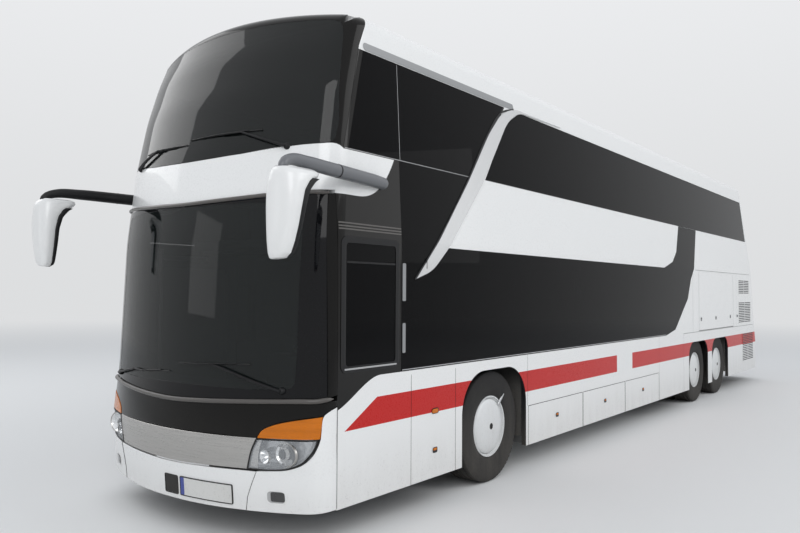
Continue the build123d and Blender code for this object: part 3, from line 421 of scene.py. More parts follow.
# Principled material: its colour varies by the grain's tone, road dust settles low down and dulls it,
# and the grain's height gives the bump. marks may paint markings over the colour.
def finish(name, colour, rough=0.4, metal=0.0, coat=0.0, vary=0.12, grain=300.0, stretch=1.0, bump=0.05,
        dust=0.3, dustHeight=1.0, roughVary=0.1, marks=None, ior=1.45, alpha=1.0, spec=0.5):
    mat = bpy.data.materials.new(name)
    mat.use_nodes = True
    tree = mat.node_tree
    shader = tree.nodes["Principled BSDF"]
    for label, value in (("Metallic", metal), ("Coat Weight", coat), ("Coat Roughness", 0.04), ("IOR", ior),
                         ("Specular IOR Level", spec), ("Alpha", alpha)):
        shader.inputs[label].default_value = value
    grains = put(tree, "ShaderNodeGroup", {"node_tree": groups["grain"]}, Scale=grain, Stretch=stretch)
    dusty = put(tree, "ShaderNodeGroup", {"node_tree": groups["dust"]}, Height=dustHeight, Amount=dust)
    base = tuple(colour) + (1,)
    darker = tuple(c * (1 - vary) for c in colour) + (1,)
    tone = blendColour(tree, grains.outputs["Tone"], darker, base)
    r = calc(tree, "ADD", calc(tree, "MULTIPLY", grains.outputs["Tone"], roughVary), rough - roughVary / 2)
    if marks:
        tone, r = marks(tree, tone, r)
    r = calc(tree, "ADD", r, calc(tree, "MULTIPLY", dusty.outputs["Mask"], 0.45), True)
    tree.links.new(r, shader.inputs["Roughness"])
    tone = blendColour(tree, dusty.outputs["Mask"], tone, dustColour)
    tone = blendColour(tree, dusty.outputs["Grime"], tone, (0.06, 0.05, 0.045, 1))
    tree.links.new(tone, shader.inputs["Base Color"])
    if bump:
        node = put(tree, "ShaderNodeBump", Strength=bump, Distance=0.002, Height=grains.outputs["Height"])
        tree.links.new(node.outputs[0], shader.inputs["Normal"])
    return mat


# Where the side's paint changes, as distances behind the nose and heights
livery = {
    "red": (0.50, 0.014, 0.012),
    "white": (0.80, 0.80, 0.79),
    "dark": (0.008, 0.0075, 0.007),
    # painted shade: the near black laid inside the gaps and recesses that lie behind the skin
    "gap": (0.022, 0.022, 0.024),
    "stripe": (0.79, 1.00),
    "stripeTip": (0.58, 0.95),      # its lower and upper front corners
    "stripeGaps": [(5.80, 6.345)],
    # lower edge of the dark zone: from and to along the side, and the heights there; then its rear edge:
    # a height, the slope, the place at that height, and the least place
    "darkRise": (0.40, 1.0, 0.93, 1.163),
    "darkBack": (1.9, 0.88, 1.50, 1.6),
    "darkTop": 3.632,
    "lift": (0.70, 0.485, 0.34, 2.50),      # lower edge of the white return: start, run, rise and height
    "liftEnd": (1.19, 2.835),
    "gapFront": 1.25,
    "gapBack": (1.5, -0.6, 13.1),           # over this height its rear end comes forward by this slope
    "gapTop": 3.4,
}


# Masks of the side's livery: the red stripe with its slanted front end and its gap, the dark gloss zone
# round the driver's window up to the trim, less the white return of the mask over it, and painted shade,
# near black, inside the gaps between the panels, which is all that lies behind the skin.
def sideMarks():
    labels = ("Stripe", "Dark", "GapShade")
    tree, _, out = newGroup("sideMarks", [], [(label, "NodeSocketFloat") for label in labels])
    place = put(tree, "ShaderNodeTexCoord").outputs["Object"]
    split = put(tree, "ShaderNodeSeparateXYZ", i0=place)

    def sub(first, second, clamp=False):
        return calc(tree, "SUBTRACT", first, second, clamp)

    def times(first, second, clamp=False):
        return calc(tree, "MULTIPLY", first, second, clamp)

    def more(first, second):
        return calc(tree, "GREATER_THAN", first, second)

    def less(first, second):
        return calc(tree, "LESS_THAN", first, second)

    def line(value, start, slope, base):
        # base plus slope times the distance of the value from the start
        return calc(tree, "ADD", times(sub(value, start), slope), base)

    s, z = sub(split.outputs[1], coach["noseY"]), split.outputs[2]
    low, high = livery["stripe"]
    tipLow, tipHigh = livery["stripeTip"]
    slant = line(z, low, (tipHigh - tipLow) / (high - low), tipLow)
    stripe = times(times(more(z, low), less(z, high)), more(s, slant))
    for front, back in livery["stripeGaps"]:
        stripe = times(stripe, sub(1.0, times(more(s, front), less(s, back))))
    s0, s1, z0, z1 = livery["darkRise"]
    rise = put(tree, "ShaderNodeMapRange", {"interpolation_type": "SMOOTHSTEP"}, i0=s, i1=s0, i2=s1, i3=z0,
        i4=z1).outputs[0]
    *edge, least = livery["darkBack"]
    dark = times(times(more(z, rise), less(s, calc(tree, "MAXIMUM", line(z, *edge), least))),
        less(z, livery["darkTop"]))
    start, run, climb, base = livery["lift"]
    share = times(sub(s, start), 1 / run, True)
    lift = calc(tree, "ADD", times(calc(tree, "POWER", share, 2.6), climb), base)
    back = times(times(more(z, lift), less(z, livery["liftEnd"][1])), less(s, livery["liftEnd"][0]))
    dark = times(dark, sub(1.0, back))
    # behind the skin: nearer the middle than the half width at this height, less a margin
    lean = times(calc(tree, "MAXIMUM", sub(z, 2.1), 0.0), 0.062)
    inside = less(calc(tree, "ABSOLUTE", split.outputs[0]), sub(coach["halfWidth"] - 0.0013, lean))
    least, slope, base = livery["gapBack"]
    rear = less(s, line(calc(tree, "MAXIMUM", z, least), least, slope, base))
    # painted shade, near black, over all that lies behind the skin within these bounds
    gap = times(times(inside, more(s, livery["gapFront"])), times(rear, less(z, livery["gapTop"])))
    for label, mask in zip(labels, (stripe, dark, gap)):
        tree.links.new(mask, out.inputs[label])
    return tree


groups["side"] = sideMarks()


# Colour and roughness of the painted side: red where the stripe is, smooth black where the dark zone is,
# and painted shade, near black, in the gaps behind the skin. The clear coat lies only where none of the
# masks does.
def sidePaint(tree, tone, rough):
    marks = put(tree, "ShaderNodeGroup", {"node_tree": groups["side"]})
    for label, key in (("Stripe", "red"), ("Dark", "dark"), ("GapShade", "gap")):
        tone = blendColour(tree, marks.outputs[label], tone, livery[key] + (1,))
    smooth = calc(tree, "SUBTRACT", 1.0, calc(tree, "MULTIPLY", marks.outputs["Dark"], 0.82))
    painted = calc(tree, "MAXIMUM", marks.outputs["Dark"], marks.outputs["Stripe"])
    plain = calc(tree, "SUBTRACT", 1.0, calc(tree, "MAXIMUM", painted, marks.outputs["GapShade"]))
    tree.links.new(calc(tree, "MULTIPLY", plain, 0.3), tree.nodes["Principled BSDF"].inputs["Coat Weight"])
    return tone, calc(tree, "MULTIPLY", rough, smooth)


# One row of the table of looks: the slot of the pieces that wear it, its colour, and its other values.
def look(slot, colour, **given):
    return slot, colour, given


looks = {
    "bodyPaint": look("white_paint", livery["white"], rough=0.28, coat=0.3, vary=0.03, grain=900, bump=0.02,
        dust=0.35, dustHeight=0.8, marks=sidePaint, spec=0.28),
    "nosePaint": look("white_paint", livery["white"], rough=0.28, coat=0.6, vary=0.03, grain=900, bump=0.02,
        dustHeight=0.5),
    "darkGloss": look("panel_dark", livery["dark"], rough=0.10, spec=0.2, vary=0.3, grain=500, bump=0.01,
        dust=0.12, roughVary=0.05),
    "tintedGlass": look("dark_glass", (0.004, 0.004, 0.0045), rough=0.008, vary=0.3, grain=4, bump=0.0,
        dust=0.01, roughVary=0.006, spec=0.07, alpha=0.93),
    "windscreenGlass": look("clear_glass", (0.010, 0.013, 0.013), rough=0.01, vary=0.3, grain=4, bump=0.0,
        dust=0.015, roughVary=0.006, spec=0.45, alpha=0.66),
    "upperScreenGlass": look("clear_glass", (0.008, 0.010, 0.010), rough=0.01, vary=0.3, grain=4, bump=0.0,
        dust=0.015, roughVary=0.006, spec=0.4, alpha=0.82),
    "blackBorder": look("dark_glass", (0.006, 0.006, 0.007), rough=0.06, vary=0.2, grain=500, bump=0.0,
        dust=0.05, spec=0.25, roughVary=0.03),
    "brushedSilver": look("trim_silver", (0.58, 0.565, 0.545), rough=0.27, metal=1.0, vary=0.42, grain=55,
        stretch=26, bump=0.12, dust=0.2, roughVary=0.2),
    "trimSilver": look("trim_silver", (0.66, 0.665, 0.67), rough=0.26, metal=0.75, vary=0.06, grain=600,
        bump=0.02, dust=0.15, coat=0.4),
    "amberLens": look("lamp_amber", (0.72, 0.195, 0.006), rough=0.14, vary=0.5, grain=40, stretch=9,
        bump=0.4, dust=0.05, spec=0.35),
    "redLens": look("lamp_red", (0.45, 0.012, 0.012), rough=0.12, vary=0.3, grain=90, bump=0.25, dust=0.15,
        coat=0.8),
    "lampLens": look("lamp_clear", (0.80, 0.83, 0.86), rough=0.02, vary=0.05, grain=80, bump=0.0, dust=0.03,
        alpha=0.16, roughVary=0.01, ior=1.6),
    "fogLens": look("lamp_clear", (0.018, 0.019, 0.021), rough=0.06, vary=0.3, grain=90, bump=0.1, dust=0.1,
        coat=0.8),
    "lampHousing": look("aluminium", (0.46, 0.47, 0.48), rough=0.24, metal=0.8, vary=0.08, grain=500,
        bump=0.01, dust=0.0, roughVary=0.04),
    "seamGrey": look("trim_silver", (0.42, 0.42, 0.42), rough=0.35, vary=0.1, grain=500, bump=0.03,
        dust=0.1),
    "louvreShade": look("wiper_black", (0.055, 0.055, 0.058), rough=0.6, vary=0.3, bump=0.1, dust=0.1),
    "coveGrey": look("trim_silver", (0.30, 0.305, 0.31), rough=0.35, metal=0.3, grain=400, dust=0.1),
    "wiperRubber": look("wiper_black", (0.015, 0.015, 0.015), rough=0.6, vary=0.3, bump=0.2, dust=0.1),
    "barTrim": look("wiper_black", (0.085, 0.078, 0.072), rough=0.38, coat=0.2, vary=0.2, grain=500,
        bump=0.06, dust=0.15),
    "reflector": look("aluminium", (0.86, 0.87, 0.88), rough=0.09, metal=1.0, vary=0.1, grain=200,
        bump=0.02, dust=0.0, roughVary=0.05),
    "tyreRubber": look("tyre", (0.014, 0.014, 0.015), rough=0.7, vary=0.35, grain=180, bump=0.35, dust=0.22,
        dustHeight=1.3, spec=0.3),
    "blackPlastic": look("wiper_black", (0.011, 0.011, 0.012), rough=0.45, vary=0.3, grain=450, bump=0.18,
        dust=0.12, spec=0.3),
    "wheelCover": look("rim_white", (0.76, 0.77, 0.77), rough=0.3, coat=0.3, vary=0.1, grain=240, bump=0.06,
        dust=0.35, dustHeight=1.2),
    "underbody": look("chassis_black", (0.045, 0.045, 0.046), rough=0.6, vary=0.4, grain=120, bump=0.3,
        dust=0.5, dustHeight=1.5),
    "axleIron": look("axle_iron", (0.09, 0.088, 0.085), rough=0.55, metal=0.4, vary=0.4, grain=160,
        bump=0.4, dust=0.5, dustHeight=1.5),
    "floorCover": look("floor_grey", (0.16, 0.165, 0.175), rough=0.65, vary=0.3, grain=350, bump=0.2,
        dust=0.2),
    "dashPlastic": look("dash_grey", (0.07, 0.07, 0.075), rough=0.5, vary=0.25, grain=500, bump=0.25,
        dust=0.15),
    "steeringLeather": look("wheel_black", (0.03, 0.03, 0.03), rough=0.5, vary=0.3, grain=700, bump=0.35,
        dust=0.05),
    "aluminium": look("aluminium", (0.62, 0.63, 0.64), rough=0.35, metal=0.95, vary=0.15, grain=240,
        bump=0.1, dust=0.2),
    "seatCloth": look("seat_cloth", (0.09, 0.11, 0.20), rough=0.9, vary=0.5, grain=900, bump=0.5, dust=0.0),
    "mirrorShell": look("mirror_white", (0.78, 0.78, 0.77), rough=0.3, coat=0.5, vary=0.05, grain=700,
        bump=0.03, dust=0.1),
    # the near arm's bluish grey is painted light, a lit copy of the black that the far arm wears
    "mirrorArmLit": look("mirror_white", (0.13, 0.135, 0.145), rough=0.38, coat=0.3, grain=500, bump=0.06,
        dust=0.1),
    "mirrorFace": look("mirror_white", (0.8, 0.82, 0.84), rough=0.02, metal=1.0, vary=0.02, grain=100,
        bump=0.0, dust=0.0, roughVary=0.01),
    "plateBlank": look("white_paint", (0.72, 0.72, 0.70), vary=0.1, grain=600),
    "plateBlue": look("white_paint", (0.02, 0.05, 0.32), vary=0.1, grain=600),
}
materials = {name: finish(name, colour, **given) for name, (slot, colour, given) in looks.items()}

cadLooks = {
    "white_paint": "bodyPaint", "dark_glass": "tintedGlass", "clear_glass": "windscreenGlass",
    "trim_silver": "trimSilver", "panel_dark": "darkGloss", "lamp_clear": "lampLens",
    "lamp_amber": "amberLens", "lamp_red": "redLens", "tyre": "tyreRubber", "rim_white": "wheelCover",
    "chassis_black": "underbody", "axle_iron": "axleIron", "floor_grey": "floorCover",
    "house_black": "underbody", "engine_grey": "axleIron", "dash_grey": "dashPlastic",
    "wheel_black": "steeringLeather", "seat_cloth": "seatCloth", "mirror_white": "mirrorShell",
    "wiper_black": "blackPlastic", "aluminium": "aluminium",
}
for nodeName, node in cadNodes.items():
    for held in node.material_slots:
        base = held.material.name.split(".")[0] if held.material else ""
        name = "bodyPaint" if nodeName == "rear_grilles" else cadLooks.get(base, "bodyPaint")
        held.material = materials[name]
print("stage: materials", len(cadLooks))


# nose: lines as (X, Z) or (distance behind the nose, Z, "s") places, from the middle out or upward
nose = {
    "bumperLow": [(0.0, 0.232), (0.45, 0.233), (0.737, 0.237)],
    "bumperTop": [(0.0, 0.515), (0.45, 0.523), (0.755, 0.529)],
    "bumperSide": [(0.737, 0.237), (0.750, 0.333), (0.789, 0.433), (0.829, 0.521)],
    "panelLow": [(0.0, 0.522), (0.45, 0.530), (0.757, 0.536)],
    "panelTop": [(0.0, 0.755), (0.548, 0.756), (0.832, 0.758)],
    "lampLow": [(0.764, 0.538), (0.93, 0.538), (1.05, 0.552), (1.155, 0.598), (1.212, 0.668)],
    "lampInner": [(0.764, 0.538), (0.802, 0.673), (0.840, 0.753)],
    "lampOuter": [(1.212, 0.668), (1.228, 0.710), (1.238, 0.760)],
    "lampTop": [(0.840, 0.753), (1.074, 0.756), (1.238, 0.760)],
    "amberLow": [(0.846, 0.760), (1.074, 0.764), (1.243, 0.767)],
    "amberTop": [(0.848, 0.771), (0.872, 0.810), (0.942, 0.848), (1.065, 0.883), (1.180, 0.905),
        (1.246, 0.917)],
    "cornerTop": [(0.833, 0.524), (0.93, 0.532), (1.055, 0.547), (1.163, 0.592), (1.222, 0.664),
        (1.247, 0.765), (1.252, 0.92), (0.430, 0.948, "s"), (0.502, 0.975, "s")],
    "zoneLow": [(0.0, 0.762), (0.60, 0.762), (0.835, 0.764), (0.850, 0.790), (0.872, 0.818), (0.942, 0.856),
        (1.065, 0.891), (1.180, 0.913), (1.247, 0.926), (0.425, 0.955, "s"), (0.502, 0.983, "s")],
    "zoneTop": [(0.0, 0.960), (0.32, 0.969), (0.76, 0.990), (1.12, 1.006), (1.24, 1.010),
        (0.42, 1.016, "s"), (0.502, 1.022, "s")],
    "barTop": [(0.0, 0.993), (0.32, 1.002), (0.76, 1.023), (1.12, 1.040), (1.24, 1.044), (0.42, 1.050, "s"),
        (0.502, 1.056, "s")],
    "apronLine": [(0.0, 0.978), (0.32, 0.987), (0.76, 1.008), (1.12, 1.024), (1.235, 1.028),
        (0.40, 1.033, "s"), (0.47, 1.038, "s")],
    "gutterLine": [(0.0, 2.461), (0.30, 2.468), (0.58, 2.479), (0.79, 2.491), (1.10, 2.504), (1.22, 2.509),
        (0.47, 2.511, "s")],
    "gutterLow": [(0.0, 2.446), (0.30, 2.453), (0.58, 2.464), (0.79, 2.476), (1.10, 2.490), (1.23, 2.497),
        (0.56, 2.500, "s")],
    "bandLow": [(0.0, 2.477), (0.30, 2.484), (0.58, 2.495), (0.79, 2.507), (1.10, 2.520), (1.23, 2.523),
        (0.502, 2.525, "s")],
    "bandTop": [(0.0, 2.800), (0.53, 2.819), (0.86, 2.850), (1.14, 2.862), (1.217, 2.866),
        (0.586, 2.840, "s")],
    "glassHalf": (1.072, 1.10, 2.442),
    "pillar": [(1.256, 1.06), (1.238, 1.74), (1.211, 2.48)],
    "upperSide": [(1.200, 2.885), (1.209, 2.905), (1.209, 3.04), (1.176, 3.37), (1.138, 3.697),
        (1.118, 3.780), (1.090, 3.836)],
    "upperTop": [(0.0, 3.896), (0.40, 3.892), (0.735, 3.882), (0.90, 3.874), (1.041, 3.862),
        (1.090, 3.836)],
    "upperLow": [(0.0, 2.801), (0.30, 2.806), (0.532, 2.816), (0.90, 2.846), (1.12, 2.866), (1.178, 2.872),
        (1.200, 2.885)],
    "surround": [0, 0.004, 0.012, 0.03, 0.05, 0.07, 0.09, 0.11, 0.13, 0.155, 0.22, 0.32, 0.45, 0.6, 0.8, 1],
}
sideways = np.array([-1, 1])    # turns (w, z) points into their mirror image


# w of the joint with the side at a height, short of it by the shift.
def seamW(z, shift=0.0):
    return float(wSide(jointS(z) - shift, z))


# Middle bumper, its corners, the silver panel and the dark zone, each filled between its four edges.
def bumperAndPanel():
    low, high = toW(nose["bumperLow"]), toW(nose["bumperTop"])
    edge = smoothPath(toW(nose["bumperSide"]), 14)
    top = np.concatenate([high[:-1], toW([(0.755, 0.529), (0.829, 0.529)])])
    w, v = coons(smoothPath(mirrored(low), 72), edge, smoothPath(mirrored(top), 72), edge * sideways)
    makeMesh("bumper_middle", [shell(w, v, 0.02)], "nosePaint", bevel=0.004)
    nosePatches("bumper_corners", [(0.741, 0.238), (0.98, 0.242), (1.16, 0.246), (1.24, 0.250),
        (0.502, 0.259, "s")], [(0.502, 0.259, "s"), (0.502, 0.60, "s"), (0.502, 0.975, "s")],
        nose["cornerTop"], [(0.741, 0.238), (0.754, 0.333), (0.793, 0.433), (0.833, 0.524)], 60, 24,
        "nosePaint", thick=0.02, bevel=0.003)
    bottom, top = [smoothPath(mirrored(toW(nose[line])), 60) for line in ("panelLow", "panelTop")]
    right = smoothPath(toW([(0.757, 0.536), (0.798, 0.673), (0.832, 0.758)]), 12)
    w, v = coons(bottom, right, top, right * sideways)
    makeMesh("silver_panel", [shell(w, v, 0.012, 0.002)], "brushedSilver", bevel=0.003)
    noseBand("dark_zone", nose["zoneLow"], nose["zoneTop"], 150, 16, "darkGloss", thick=0.012, bevel=0.002)


# Faces of a tube of n rings with the same number of points round each, and flat fans at both ends.
def tubeFaces(n, around):
    ends = [list(range(around))[::-1], [(n - 1) * around + i for i in range(around)]]
    return gridFaces(n, around, 0, False, True) + ends


# Closed tube along a path: at each point an ellipse square to the line, its half-axes given per
# point, and flat fans that close both ends.
def sweep(path, radiusA, radiusB, around=16, up=(0, 0, 1)):
    p = np.asarray(path, float)
    n = len(p)
    along = np.gradient(p, axis=0)
    along /= np.linalg.norm(along, axis=1)[:, None]
    b = np.cross(along, np.asarray(up, float))
    b /= np.maximum(np.linalg.norm(b, axis=1), 1e-6)[:, None]
    c = np.cross(b, along)
    a = np.linspace(0, 2 * np.pi, around, endpoint=False)[None, :, None]
    ra = np.broadcast_to(np.asarray(radiusA, float), (n,))[:, None, None]
    rb = np.broadcast_to(np.asarray(radiusB, float), (n,))[:, None, None]
    ring = p[:, None] + b[:, None] * np.cos(a) * ra + c[:, None] * np.sin(a) * rb
    return ring.reshape(-1, 3), tubeFaces(n, around)


# Heights of a box with round corners, and how far its ends pull in at each: a quarter circle.
def roundedRows(low, high, radius, rows=2, steps=5):
    a = np.linspace(0, np.pi / 2, steps)
    rise = radius * (1 - np.cos(a))
    pull = radius * (1 - np.sin(a))
    middle = np.linspace(low + radius, high - radius, rows)[1:-1]
    z = np.concatenate([low + rise, middle, high - rise[::-1]])
    return z, np.concatenate([pull, middle * 0, pull[::-1]])


# The box (x0, x1, z0, z1) grown all round by a margin, or by another one in height, with its corner radius.
def grown(box, by, radius, tall=None):
    tall = by if tall is None else tall
    return box[0] - by, box[1] + by, box[2] - tall, box[3] + tall, radius


# Sheet of the skin with round corners between two places along it and two heights. The places are X
# on the bowed end, or the distance s from that end on the side.
def patch(first, last, low, high, radius, thick, off=0.0, side=1, onEnd=False, end=-1, across=12, rows=4):
    z, pull = roundedRows(low, high, radius, rows)
    u = np.linspace(0, 1, across)[:, None]
    place = (first + pull) + (last - first - 2 * pull) * u
    z = np.broadcast_to(z, place.shape)
    w = wFront(place, z, end) if onEnd else wSide(place, z, end)
    return shell(w * side, z, thick, off, end)


# Closed line round a box with round corners: four quarter circles, each run cut into more points.
def loopOf(first, last, low, high, radius, steps=6, cuts=4):
    corner = np.linspace(0, np.pi / 2, steps)
    points = []
    for x, z, start in ((last, high, 0), (first, high, 1), (first, low, 2), (last, low, 3)):
        x += radius if x == first else -radius
        z += radius if z == low else -radius
        angle = corner + start * np.pi / 2
        points.append(np.stack([x + radius * np.cos(angle), z + radius * np.sin(angle)], -1))
    p = np.concatenate(points)
    q = np.append(p, p[:1], 0)
    t = np.linspace(0, 1, cuts, endpoint=False)[None, :, None]
    return (q[:-1, None] * (1 - t) + q[1:, None] * t).reshape(-1, 2)


# Frame on the skin between two such boxes, filled evenly from the inner loop to the outer one.
def frameRing(inner, outer, thick, off=0.0, side=1, onEnd=False, end=-1, rows=4):
    a, b = loopOf(*inner), loopOf(*outer)
    t = np.linspace(0, 1, rows)[None, :, None]
    g = a[:, None] * (1 - t) + b[:, None] * t
    w = wFront(g[..., 0], g[..., 1], end) if onEnd else wSide(g[..., 0], g[..., 1], end)
    return shell(w * side, g[..., 1], thick, off, end, closeN=True)


# Strip along a line on the side: the line moved square to itself by up to the half-width both ways.
def strip(points, halfWidth, thick, off=0.0, side=1, count=40, rows=3, smooth=False, end=-1):
    p = (smoothPath if smooth else straightPath)(points, count)
    along = np.gradient(p, axis=0)
    along /= np.linalg.norm(along, axis=1)[:, None]
    square = np.stack([-along[:, 1], along[:, 0]], -1)
    t = np.linspace(-1, 1, rows)[None, :, None]
    g = p[:, None] + square[:, None] * t * halfWidth
    return shell(wSide(g[..., 0], g[..., 1], end) * side, g[..., 1], thick, off, end)


# Turned piece: (height along the axis, radius) points carried round the axis, which may be stretched.
def turnedAt(centre, axis, up, profile, count=32, stretch=(1, 1)):
    axis = np.asarray(axis, float) / np.linalg.norm(axis)
    across = np.cross(up, axis)
    across /= np.linalg.norm(across)
    rise = np.cross(axis, across)
    p = np.asarray(profile, float)
    a = np.linspace(0, 2 * np.pi, count, endpoint=False)[:, None]
    ray = across * np.cos(a) * stretch[0] + rise * np.sin(a) * stretch[1]
    ring = np.asarray(centre) + axis * p[None, :, :1] + ray[:, None] * p[None, :, 1:]
    return ring.reshape(-1, 3), gridFaces(count, len(p), 0, True, False)


# The same on the skin at (w, v), along its outward normal there.
def stud(w, v, profile, count=28, end=-1, stretch=(1, 1)):
    here = skin(w, v, 0, end)
    outward = skin(w, v, 0.01, end) - here
    return turnedAt(here, outward, (0, 0, 1), profile, count, stretch)


# Rounded rail lying on the nose along a line: an ellipse carried along it, taken in at both ends.
def noseRail(name, line, tall, deep, off, look, count=110):
    p = smoothPath(mirrored(toW(line)), count)
    path = skin(p[:, 0], p[:, 1], off)
    t = np.linspace(0, 1, count)
    end = np.minimum(t, 1 - t) * count / 4
    ease = np.sqrt(np.clip(end, 0.02, 1) * (2 - np.clip(end, 0, 1)))
    return makeMesh(name, [sweep(path, deep * ease, tall * ease, 14)], look, angle=60)


front = {
    "towCover": (-0.055, 0.105, 0.265, 0.408),
    "plate": (0.130, 0.636, 0.266, 0.410),
    "plateBand": 0.175,
    "fogRecess": (0.890, 1.040, 0.300, 0.400),
    "fogLamp": (0.930, 1.028, 0.320, 0.387),
}


# Towing cover, number plate and fog lamps: frames and patches of the skin, one set into the other.
def frontFittings():
    tow, plate, recess, lamp = [front[key] for key in ("towCover", "plate", "fogRecess", "fogLamp")]
    makeMesh("tow_cover", [frameRing(grown(tow, -0.008, 0.008), grown(tow, 0, 0.014), 0.006, 0.004,
        onEnd=True), patch(*grown(tow, -0.009, 0.008), 0.004, 0.002, onEnd=True)], "blackPlastic",
        bevel=0.0015)
    makeMesh("plate_frame", [frameRing(grown(plate, -0.007, 0.006), grown(plate, 0, 0.012), 0.009, 0.008,
        onEnd=True)], "blackPlastic", bevel=0.0015)
    makeMesh("plate_blank", [patch(*grown(plate, -0.006, 0.006), 0.006, 0.005, onEnd=True, across=30)],
        "plateBlank")
    band = (plate[0] + 0.008, front["plateBand"], plate[2] + 0.008, plate[3] - 0.008)
    makeMesh("plate_band", [patch(*band, 0.004, 0.003, 0.0065, onEnd=True)], "plateBlue")
    makeMesh("fog_bezels", bothSides(lambda side: frameRing(grown(recess, -0.012, 0.026, -0.010),
        grown(recess, 0, 0.034), 0.004, 0.0035, side, True)), "nosePaint", bevel=0.0015)
    # the grey sheets inside the fog lamp bezels are painted shade of the recesses
    makeMesh("fog_recess_shades", bothSides(lambda side: patch(*grown(recess, -0.011, 0.026, -0.009), 0.004,
        0.001, side, True)), "seamGrey")
    makeMesh("fog_lenses", bothSides(lambda side: patch(*lamp, 0.014, 0.006, 0.006, side, True)), "fogLens",
        bevel=0.003)


lampInside = {
    "cups": [(1.035, 0.652, 0.078, 1.22), (0.885, 0.628, 0.046, 1.0)],   # X, Z, radius, stretch
    "depth": 0.052,
    "rim": -0.016,
    "projector": (1.000, 0.648, 0.036),
}


# Inside the headlamps: paraboloid cups facing along the skin's normal, a projector lens in the large one,
# and bright rings round both.
def lampInsides():
    cups, eyes, rings = [], [], []
    rim, depth = lampInside["rim"], lampInside["depth"]
    for side in (1, -1):
        for x, z, radius, stretch in lampInside["cups"]:
            q = np.linspace(1, 0, 12)
            bowl = np.stack([rim - depth * (1 - q ** 2), q * radius], -1)
            back = bowl[::-1] - [[0.003, 0]]
            back[:, 1] *= 1.03
            w = side * float(wFront(x, z))
            outline = np.concatenate([bowl, back[:-1], [[rim, radius * 1.06]]])[::-1]
            cups.append(stud(w, z, outline, 48, stretch=(stretch, 1)))
            outline = [(rim, radius), (rim + 0.004, radius * 1.03), (rim + 0.003, radius * 1.10),
                (rim - 0.012, radius * 1.12), (rim - 0.012, radius)]
            rings.append(stud(w, z, outline, 48, stretch=(stretch, 1)))
        x, z, radius = lampInside["projector"]
        w = side * float(wFront(x, z))
        q = np.linspace(1, 0, 8)
        dome = np.stack([-0.036 + 0.014 * np.sqrt(np.maximum(1 - q ** 2, 0)), q * radius], -1)
        eyes.append(stud(w, z, np.concatenate([[[-0.060, 0.0], [-0.060, radius]], dome]), 36))
        rings.append(stud(w, z, [(-0.062, radius), (-0.034, radius), (-0.032, radius + 0.004),
            (-0.036, radius + 0.007), (-0.062, radius + 0.007)], 36))
    makeMesh("lamp_cups", cups, "reflector", angle=60)
    makeMesh("lamp_rings", rings, "brushedSilver", angle=45)
    makeMesh("lamp_projectors", eyes, "tintedGlass", angle=50)


# Lenses, housings and bezels of the headlamps and indicators, and a gasket round each headlamp: its closed
# line moved square to itself by a few millimetres both ways.
def lamps():
    nosePatches("headlamp_lenses", nose["lampLow"], nose["lampOuter"], nose["lampTop"], nose["lampInner"],
        40, 20, "lampLens", thick=0.005, off=0.003, bevel=0.002)
    nosePatches("indicator_lenses", nose["amberLow"], [(1.243, 0.767), (1.246, 0.84), (1.246, 0.917)],
        nose["amberTop"], [(0.846, 0.760), (0.847, 0.765), (0.848, 0.771)], 40, 14, "amberLens",
        thick=0.012, off=0.004, bevel=0.003)
    nosePatches("headlamp_housings",
        [(0.766, 0.534), (0.93, 0.534), (1.06, 0.549), (1.168, 0.596), (1.219, 0.667)],
        [(1.219, 0.667), (1.232, 0.71), (1.243, 0.762)], [(0.838, 0.756), (1.074, 0.760), (1.243, 0.762)],
        [(0.766, 0.534), (0.804, 0.673), (0.838, 0.756)], 30, 16, "lampHousing", thick=0.004, off=-0.080)
    nosePatches("headlamp_bezels", [(0.770, 0.541), (0.80, 0.541), (0.832, 0.542)],
        [(0.832, 0.542), (0.840, 0.640), (0.868, 0.752)], [(0.842, 0.750), (0.855, 0.751), (0.868, 0.752)],
        [(0.770, 0.541), (0.806, 0.673), (0.842, 0.750)], 10, 16, "brushedSilver", thick=0.004, off=-0.012,
        bevel=0.001)
    edges = [nose["lampLow"], nose["lampOuter"], nose["lampTop"][::-1], nose["lampInner"][::-1]]
    loop = np.concatenate([smoothPath(toW(edge), 24)[:-1] for edge in edges])
    along = np.roll(loop, -1, 0) - np.roll(loop, 1, 0)
    square = np.stack([along[:, 1], -along[:, 0]], -1) / np.linalg.norm(along, axis=1)[:, None]
    g = loop[:, None] + square[:, None] * np.linspace(-0.006, 0.003, 3)[None, :, None]
    makeMesh("lamp_gaskets", bothSides(lambda side: shell(side * g[..., 0], g[..., 1], 0.012, 0.0045,
        closeN=True)), "blackPlastic")


# Four edges of a box about the middle with round corners, each corner shared half and half.
def roundedEdges(x, z0, z1, r):
    def corner(cx, cz, a0, a1):
        return [(cx + r * math.cos(math.radians(a)), cz + r * math.sin(math.radians(a)))
            for a in np.linspace(a0, a1, 5)]

    middle = (z0 + z1) / 2
    return (corner(x - r, z0 + r, -45, 0) + [(x, middle)] + corner(x - r, z1 - r, 0, 45),
            corner(x - r, z1 - r, 45, 90) + [(0.0, z1)] + corner(-x + r, z1 - r, 90, 135),
            corner(-x + r, z1 - r, 135, 180) + [(-x, middle)] + corner(-x + r, z0 + r, 180, 225),
            corner(-x + r, z0 + r, 225, 270) + [(0.0, z0)] + corner(x - r, z0 + r, 270, 315))


# (X, Z) places of both sides of the nose as (w, z): the side is the sign of X.
def signedW(points):
    return np.array([(math.copysign(1, p[0]) * abs(float(wFront(abs(p[0]), p[1]))), p[1]) for p in points])


